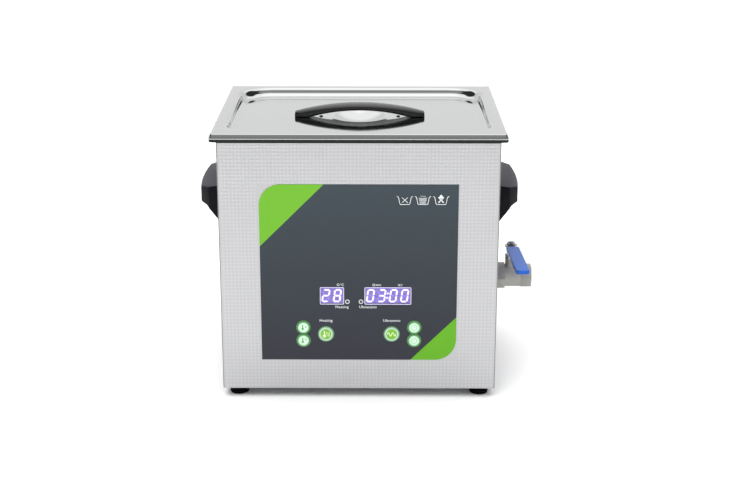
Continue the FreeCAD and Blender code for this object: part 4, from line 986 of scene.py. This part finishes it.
class Growth:
    """A geometry tree with named sizes, ending in real geometry of one finish."""

    def __init__(self, name):
        self.group = bpy.data.node_groups.new(name, "GeometryNodeTree")
        for way in ("INPUT", "OUTPUT"):
            face = self.group.interface
            face.new_socket("Geometry", in_out=way, socket_type="NodeSocketGeometry")
        self.entry = self.add("NodeGroupInput")
        self.exit = self.add("NodeGroupOutput")

    def add(self, kind, **settings):
        node = self.group.nodes.new(kind)
        for key, value in settings.items():
            setattr(node, key, value)
        return node

    def size(self, name, kind="Float"):
        """A named input of the tree."""
        self.group.interface.new_socket(name, in_out="INPUT", socket_type="NodeSocket" + kind)
        return self.entry.outputs[name]

    def put(self, kind, inputs=None, **settings):
        """Adds a node, sets or links its inputs by name or number, and gives it back."""
        node = self.add(kind, **settings)
        for key, value in (inputs or {}).items():
            socket = node.inputs[key]
            if hasattr(value, "is_output"):
                self.group.links.new(value, socket)
            else:
                socket.default_value = value
        return node

    def maths(self, operation, first, second=0.0):
        return self.put("ShaderNodeMath", {0: first, 1: second}, operation=operation).outputs[0]

    def vector(self, x=0.0, y=0.0, z=0.0):
        return self.put("ShaderNodeCombineXYZ", {0: x, 1: y, 2: z}).outputs[0]

    def axes(self, vector):
        return self.put("ShaderNodeSeparateXYZ", {0: vector}).outputs

    def here(self):
        """The three coordinates of each point."""
        return self.axes(self.put("GeometryNodeInputPosition").outputs[0])

    def without(self, geometry, selection, domain):
        """The geometry with the selected points or faces taken away."""
        chosen = {"Geometry": geometry, "Selection": selection}
        return self.put("GeometryNodeDeleteGeometry", chosen, domain=domain).outputs[0]

    def moved(self, geometry, shift=(0, 0, 0), turn=(0, 0, 0)):
        """The geometry turned and then shifted."""
        place = {"Geometry": geometry, "Translation": shift, "Rotation": turn}
        return self.put("GeometryNodeTransform", place).outputs[0]

    def close(self, geometry, finish):
        real = self.put("GeometryNodeRealizeInstances", {0: geometry}).outputs[0]
        look = {"Geometry": real, "Material": FINISHES[finish]}
        skin = self.put("GeometryNodeSetMaterial", look)
        self.group.links.new(skin.outputs[0], self.exit.inputs[0])
        self.finish = finish
        return self

    def grow(self, name, sizes, seeds=(), smooth=60, body="case", stands_for=()):
        """Runs the tree over seed points and keeps the result as a plain mesh."""
        start = bpy.data.meshes.new(name)
        start.from_pydata([tuple(s) for s in seeds] or [(0, 0, 0)], [], [])
        carrier = bpy.data.objects.new(name, start)
        bpy.context.scene.collection.objects.link(carrier)
        tool = carrier.modifiers.new("growth", "NODES")
        tool.node_group = self.group
        for socket in self.group.interface.items_tree:
            if socket.in_out == "INPUT" and socket.name in sizes:
                tool[socket.identifier] = sizes[socket.name]
        carrier.update_tag()
        mesh = baked(carrier)
        tidy(mesh, 2e-6)
        bpy.data.objects.remove(carrier)
        made = piece(name, mesh, self.finish, body, stands_for)
        soften(mesh, smooth)
        return made


def dot_tree():
    """A grid of low round dots, with two rectangles left bare."""
    t = Growth("embossed_dots")
    wide, tall = t.size("Width"), t.size("Height")
    across, up = t.size("Count across", "Int"), t.size("Count up", "Int")
    r, proud = t.size("Dot radius"), t.size("Dot height")
    middle, turn = t.size("Middle", "Vector"), t.size("Turn", "Vector")
    spans = {"Size X": wide, "Size Y": tall, "Vertices X": across, "Vertices Y": up}
    geometry = t.put("GeometryNodeMeshGrid", spans).outputs[0]
    xyz = t.here()
    for number in ("first", "second"):
        centre = t.size("Bare " + number + " centre", "Vector")
        half = t.size("Bare " + number + " half", "Vector")
        c, h = t.axes(centre), t.axes(half)
        inside = []
        for axis in (0, 1):
            off = t.maths("ABSOLUTE", t.maths("SUBTRACT", xyz[axis], c[axis]))
            inside.append(t.maths("LESS_THAN", off, h[axis]))
        both = t.maths("MULTIPLY", inside[0], inside[1])
        geometry = t.without(geometry, both, "POINT")
    cone = {"Vertices": 8, "Side Segments": 2, "Radius Bottom": r, "Depth": proud}
    cone["Radius Top"] = t.maths("MULTIPLY", r, 0.42)
    dot = t.put("GeometryNodeMeshCone", cone, fill_type="NGON")
    open_dot = t.without(dot.outputs["Mesh"], dot.outputs["Bottom"], "FACE")
    middle_ring = t.maths("COMPARE", t.here()[2], t.maths("MULTIPLY", proud, 0.5))
    swell = t.vector(z=t.maths("MULTIPLY", proud, 0.22))
    puff = {"Geometry": open_dot, "Selection": middle_ring, "Offset": swell}
    puffed = t.put("GeometryNodeSetPosition", puff).outputs[0]
    spread = t.put("GeometryNodeInstanceOnPoints", {"Points": geometry, "Instance": puffed})
    # the dots take the paler copy of the case steel, a painted highlight
    return t.close(t.moved(spread.outputs[0], middle, turn), "linen_dot")


def screw_tree():
    """Pan-head screws with a cross recess: head, shank and recess sized by name."""
    t = Growth("pan_screws")
    r, high = t.size("Head radius"), t.size("Head height")
    shank_r, long = t.size("Shank radius"), t.size("Shank length")
    turn = t.size("Turn", "Vector")
    # bands of the head: lower and upper radius as shares of its radius, then where each band
    # starts and how tall it is, as shares of the head's height
    bands = ((1.0, 1.0, 0.0, 0.45), (1.0, 0.84, 0.45, 0.30), (0.84, 0.5, 0.75, 0.25))
    head = t.put("GeometryNodeJoinGeometry")
    for low, top, base, share in bands:
        cone = {"Vertices": 24, "Depth": t.maths("MULTIPLY", high, share)}
        cone["Radius Bottom"] = t.maths("MULTIPLY", r, low)
        cone["Radius Top"] = t.maths("MULTIPLY", r, top)
        band = t.put("GeometryNodeMeshCone", cone, fill_type="NGON").outputs
        lower_cap = band["Bottom"] if base else 0.0
        upper_cap = band["Top"] if top > 0.5 else 0.0
        open_band = t.without(band[0], t.maths("MAXIMUM", lower_cap, upper_cap), "FACE")
        raised = t.moved(open_band, t.vector(z=t.maths("MULTIPLY", high, base)))
        t.group.links.new(raised, head.inputs[0])
    merge = {"Geometry": head.outputs[0], "Distance": 0.00001}
    closed = t.put("GeometryNodeMergeByDistance", merge).outputs[0]
    cut = t.put("GeometryNodeMeshBoolean", {0: closed}, operation="DIFFERENCE", solver="EXACT")
    for upright in (False, True):
        arm, slit = t.maths("MULTIPLY", r, 1.05), t.maths("MULTIPLY", r, 0.26)
        size = t.vector(slit if upright else arm, arm if upright else slit, high)
        blade = t.put("GeometryNodeMeshCube", {"Size": size}).outputs[0]
        t.group.links.new(t.moved(blade, t.vector(z=high)), cut.inputs[1])
    pin = {"Vertices": 16, "Radius": shank_r, "Depth": long}
    shank = t.put("GeometryNodeMeshCylinder", pin).outputs[0]
    hung = t.moved(shank, t.vector(z=t.maths("MULTIPLY", long, -0.5)))
    whole = t.put("GeometryNodeJoinGeometry")
    for part in (cut.outputs[0], hung):
        t.group.links.new(part, whole.inputs[0])
    laid = t.moved(whole.outputs[0], turn=turn)
    spread = t.put("GeometryNodeInstanceOnPoints", {"Points": t.entry.outputs[0], "Instance": laid})
    return t.close(spread.outputs[0], "screw_steel")


def islands(node):
    """Lowest and highest corners of each separate solid of a fixed node."""
    work = bmesh.new()
    work.from_mesh(nodes[node].data)
    bmesh.ops.remove_doubles(work, verts=work.verts, dist=1e-6)
    seen, boxes = set(), []
    for first in work.verts:
        if first in seen:
            continue
        seen.add(first)
        stack, spots = [first], []
        while stack:
            vert = stack.pop()
            spots.append(vert.co.copy())
            for edge in vert.link_edges:
                other = edge.other_vert(vert)
                if other not in seen:
                    seen.add(other)
                    stack.append(other)
        boxes.append([Vector([pick(p[i] for p in spots) for i in range(3)]) for pick in (min, max)])
    work.free()
    return boxes


def case_fasteners():
    """The rear, side and inlet screws, each with its recess facing out of the case."""
    screws = screw_tree()
    groups = {"rear": [], "left": [], "right": [], "inlet": []}
    inlet_flange = 4.0 * MM
    for lo, hi in islands("case_screws"):
        middle = (lo + hi) / 2
        if hi.y - lo.y > hi.x - lo.x:
            kind = "inlet" if hi.y > case_hi.y + inlet_flange else "rear"
            seat = Vector((middle.x, hi.y, middle.z))
        else:
            kind = "right" if middle.x > CASE_X else "left"
            seat = Vector((hi.x if kind == "right" else lo.x, middle.y, middle.z))
        groups[kind].append((seat, (hi.z - lo.z) / 2))
    quarter = math.pi / 2
    facing = {
        "rear": ((-quarter, 0, 0), (0, -1, 0)),
        "inlet": ((-quarter, 0, 0), (0, -1, 0)),
        "left": ((0, -quarter, 0), (1, 0, 0)),
        "right": ((0, quarter, 0), (-1, 0, 0)),
    }
    for kind, spots in groups.items():
        turn, inward = facing[kind]
        head_r = spots[0][1]
        head_h = head_r * 0.59
        seeds = [seat + Vector(inward) * head_h for seat, _ in spots]
        sizes = {"Head radius": head_r, "Head height": head_h, "Turn": turn}
        sizes.update({"Shank radius": 1.4 * MM, "Shank length": 6.6 * MM})
        cad_node = ("case_screws",) if kind == "rear" else ()
        screws.grow("screws_" + kind, sizes, seeds, smooth=35, stands_for=cad_node)


case_fasteners()


def eased(node, finish, width, body="case", segments=2):
    """A copy of a fixed node's shape with its sharp edges broken."""
    mesh = nodes[node].data.copy()
    for layer in [a for a in mesh.attributes if a.name == "custom_normal"]:
        mesh.attributes.remove(layer)
    work = bmesh.new()
    work.from_mesh(mesh)
    bmesh.ops.remove_doubles(work, verts=work.verts, dist=2e-6)
    flat = math.radians(0.6)
    bmesh.ops.dissolve_limit(work, angle_limit=flat, verts=work.verts, edges=work.edges)
    work.to_mesh(mesh)
    work.free()
    mesh.materials.clear()
    made = piece("eased_" + node, mesh, finish, body, (node,))
    edge = made.modifiers.new("edge", "BEVEL")
    edge.width = width * MM
    edge.segments = segments
    edge.limit_method = "ANGLE"
    edge.angle_limit = math.radians(32)
    edge.use_clamp_overlap = True
    soften(baked(made), 40)


for grip in ("handle_left", "handle_right"):
    eased(grip, "grip_plastic", 0.9, segments=3)
eased("bulkhead_nut", "valve_steel", 0.5)
eased("valve_body", "valve_steel", 0.6)
eased("valve_end", "valve_steel", 0.6)
eased("gland_nut", "nut_steel", 0.3)
eased("lever_nut", "nut_steel", 0.3, "drain_lever")
eased("rocker_bezel", "inlet_plastic", 0.4)


def embossing():
    """Raised dots over the front and both sides of the case."""
    dots = dot_tree()
    pitch, margin, gap = 4.25, 8.0, 0.9 * MM
    z0 = case_lo.z / MM + 3.4
    z1 = case_hi.z / MM - 2.6
    mid_z = (z0 + z1) / 2
    up = int((z1 - z0) / pitch) + 1
    quarter = math.pi / 2

    def face(name, span, middle, turn, bare):
        """Dots over one face, left out round the middles and half sizes in bare."""
        across = int((span - margin) / pitch) + 1
        sizes = {
            "Dot radius": 1.45 * MM, "Dot height": 0.13 * MM, "Middle": middle, "Turn": turn,
            "Width": (across - 1) * pitch * MM, "Height": (up - 1) * pitch * MM,
            "Count across": across, "Count up": up,
        }
        for number, (height, half) in zip(("first", "second"), bare):
            sizes["Bare " + number + " centre"] = (0, height - mid_z * MM, 0)
            sizes["Bare " + number + " half"] = half
        dots.grow(name, sizes)

    def around(node, axis, extra=0.0):
        """Middle height of a fixed node, and its half sizes along an axis and upwards."""
        lo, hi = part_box(node)
        return (lo.z + hi.z) / 2, ((hi - lo)[axis] / 2 + extra, (hi.z - lo.z) / 2 + extra, 0)

    wide = (case_hi.x - case_lo.x) / MM
    deep = (case_hi.y - case_lo.y) / MM
    front = at(0, case_lo.y / MM, mid_z)
    face("front_dots", wide, front, (quarter, 0, 0), [around("control_overlay", 0, gap)])
    grip, nut = around("handle_right", 1), around("bulkhead_nut", 1)
    for name, side, bare in (("left_dots", -1, [grip]), ("right_dots", 1, [grip, nut])):
        middle = at(side * wide / 2, 0, mid_z)
        face(name, deep, middle, (quarter, 0, side * quarter), bare)


embossing()


# ---- light, floor and camera -----------------------------------------------------------


def studio():
    """White floor, a pale surround with dark cards for the bright metal, and soft lamps."""
    paper = Finish("floor_paper")
    fibre = paper.noise(300.0, 3.0)
    paper.set(Base_Color=paper.mix(fibre, "f4f4f4", "f9f9f9"))
    paper.set(Roughness=paper.spread(fibre, 0.75, 0.85), Specular_IOR_Level=0.1)
    mesh = bpy.data.meshes.new("floor")
    reach = 9.0
    corners = [(-reach, -reach, 0), (reach, -reach, 0), (reach, reach, 0), (-reach, reach, 0)]
    mesh.from_pydata(corners, [], [(0, 1, 2, 3)])
    mesh.materials.append(paper.mat)
    floor = bpy.data.objects.new("floor", mesh)
    bpy.context.scene.collection.objects.link(floor)

    world = bpy.data.worlds.new("surround")
    bpy.context.scene.world = world
    world.use_nodes = True
    tree = world.node_tree
    tree.nodes.clear()

    def add(kind, inputs=(), **settings):
        node = tree.nodes.new(kind)
        for key, value in settings.items():
            setattr(node, key, value)
        for socket, value in zip(node.inputs, inputs):
            if hasattr(value, "is_output"):
                tree.links.new(value, socket)
            else:
                socket.default_value = value
        return node.outputs[0]

    def maths(operation, *values):
        return add("ShaderNodeMath", values, operation=operation)

    def band(value, start, end):
        """Zero below start, one above end, smooth between."""
        limits = (value, start, end, 0.0, 1.0)
        return add("ShaderNodeMapRange", limits, interpolation_type="SMOOTHSTEP")

    def window(value, rise, fall):
        """One between a rise and a fall, zero outside them."""
        return maths("MULTIPLY", band(value, *rise), maths("SUBTRACT", 1.0, band(value, *fall)))

    coord = tree.nodes.new("ShaderNodeTexCoord")
    split = tree.nodes.new("ShaderNodeSeparateXYZ")
    tree.links.new(coord.outputs["Generated"], split.inputs[0])
    x, y, z = split.outputs
    toward = maths("MULTIPLY", y, -1.0)
    level = add("ShaderNodeMapRange", (band(z, 0.38, 0.72), 0.0, 1.0, 0.95, 1.42))
    low_down = maths("SUBTRACT", 1.0, band(z, 0.0, 0.08))
    level = maths("ADD", level, maths("MULTIPLY", low_down, 0.06))
    front = band(toward, 0.02, 0.22)
    gradation = tree.nodes.new("ShaderNodeValToRGB")
    tree.links.new(z, gradation.inputs["Fac"])
    steps = [(0.0, 1.0), (0.09, 0.8), (0.24, 0.36), (0.42, 0.26)]
    steps += [(0.56, 0.26), (0.66, 0.36), (0.8, 0.62), (0.93, 1.3)]
    while len(gradation.color_ramp.elements) < len(steps):
        gradation.color_ramp.elements.new(0.5)
    for element, (place, grey) in zip(gradation.color_ramp.elements, steps):
        element.position = place
        element.color = (grey, grey, grey, 1.0)
    behind = maths("MULTIPLY", level, maths("SUBTRACT", 1.0, front))
    open_sky = maths("ADD", behind, maths("MULTIPLY", gradation.outputs[0], front))
    open_sky = maths("ADD", open_sky, maths("MULTIPLY", band(z, 0.90, 0.97), 0.35))
    card = window(maths("ABSOLUTE", x), (0.42, 0.52), (0.90, 0.96))
    card = maths("MULTIPLY", card, window(z, (0.26, 0.34), (0.76, 0.84)))
    card = maths("MULTIPLY", card, window(y, (-0.42, -0.30), (0.46, 0.56)))
    card_grey = 0.04
    past_card = maths("MULTIPLY", open_sky, maths("SUBTRACT", 1.0, card))
    value = maths("ADD", past_card, maths("MULTIPLY", card, card_grey))
    back = tree.nodes.new("ShaderNodeBackground")
    tree.links.new(value, back.inputs["Color"])
    out = tree.nodes.new("ShaderNodeOutputWorld")
    tree.links.new(back.outputs[0], out.inputs[0])

    sky = bpy.data.lights.new("ceiling", "SUN")
    sky.energy = 1.7
    sky.angle = math.radians(80)
    overhead = bpy.data.objects.new("ceiling", sky)
    overhead.rotation_euler = (math.radians(8), 0.0, 0.0)
    overhead.visible_glossy = False
    bpy.context.scene.collection.objects.link(overhead)

    lamps = (
        ("key_front", (-0.5, -1.05, 1.35), (0.0, -0.1, 0.26), 1.1, 0.8, 9.0),
        ("fill_right", (1.5, -1.5, 1.2), (0.0, 0.0, 0.15), 1.2, 1.2, 7.0),
    )
    for name, where, target, wide, tall, power in lamps:
        lamp = bpy.data.lights.new(name, "AREA")
        lamp.shape = "RECTANGLE"
        lamp.size = wide
        lamp.size_y = tall
        lamp.energy = power
        holder = bpy.data.objects.new(name, lamp)
        holder.location = where
        aim = Vector(target) - Vector(where)
        holder.rotation_euler = aim.to_track_quat("-Z", "Y").to_euler()
        holder.visible_glossy = False
        bpy.context.scene.collection.objects.link(holder)

    view = bpy.data.cameras.new("camera")
    view.sensor_width = 36.0
    view.lens = 71.16
    eye = bpy.data.objects.new("camera", view)
    eye.location = (0.0065, -1.7281, 0.6983)
    eye.rotation_euler = (math.radians(72.45), 0.0, math.radians(0.37))
    bpy.context.scene.collection.objects.link(eye)
    bpy.context.scene.camera = eye
    bpy.context.scene.view_settings.view_transform = "Standard"


studio()
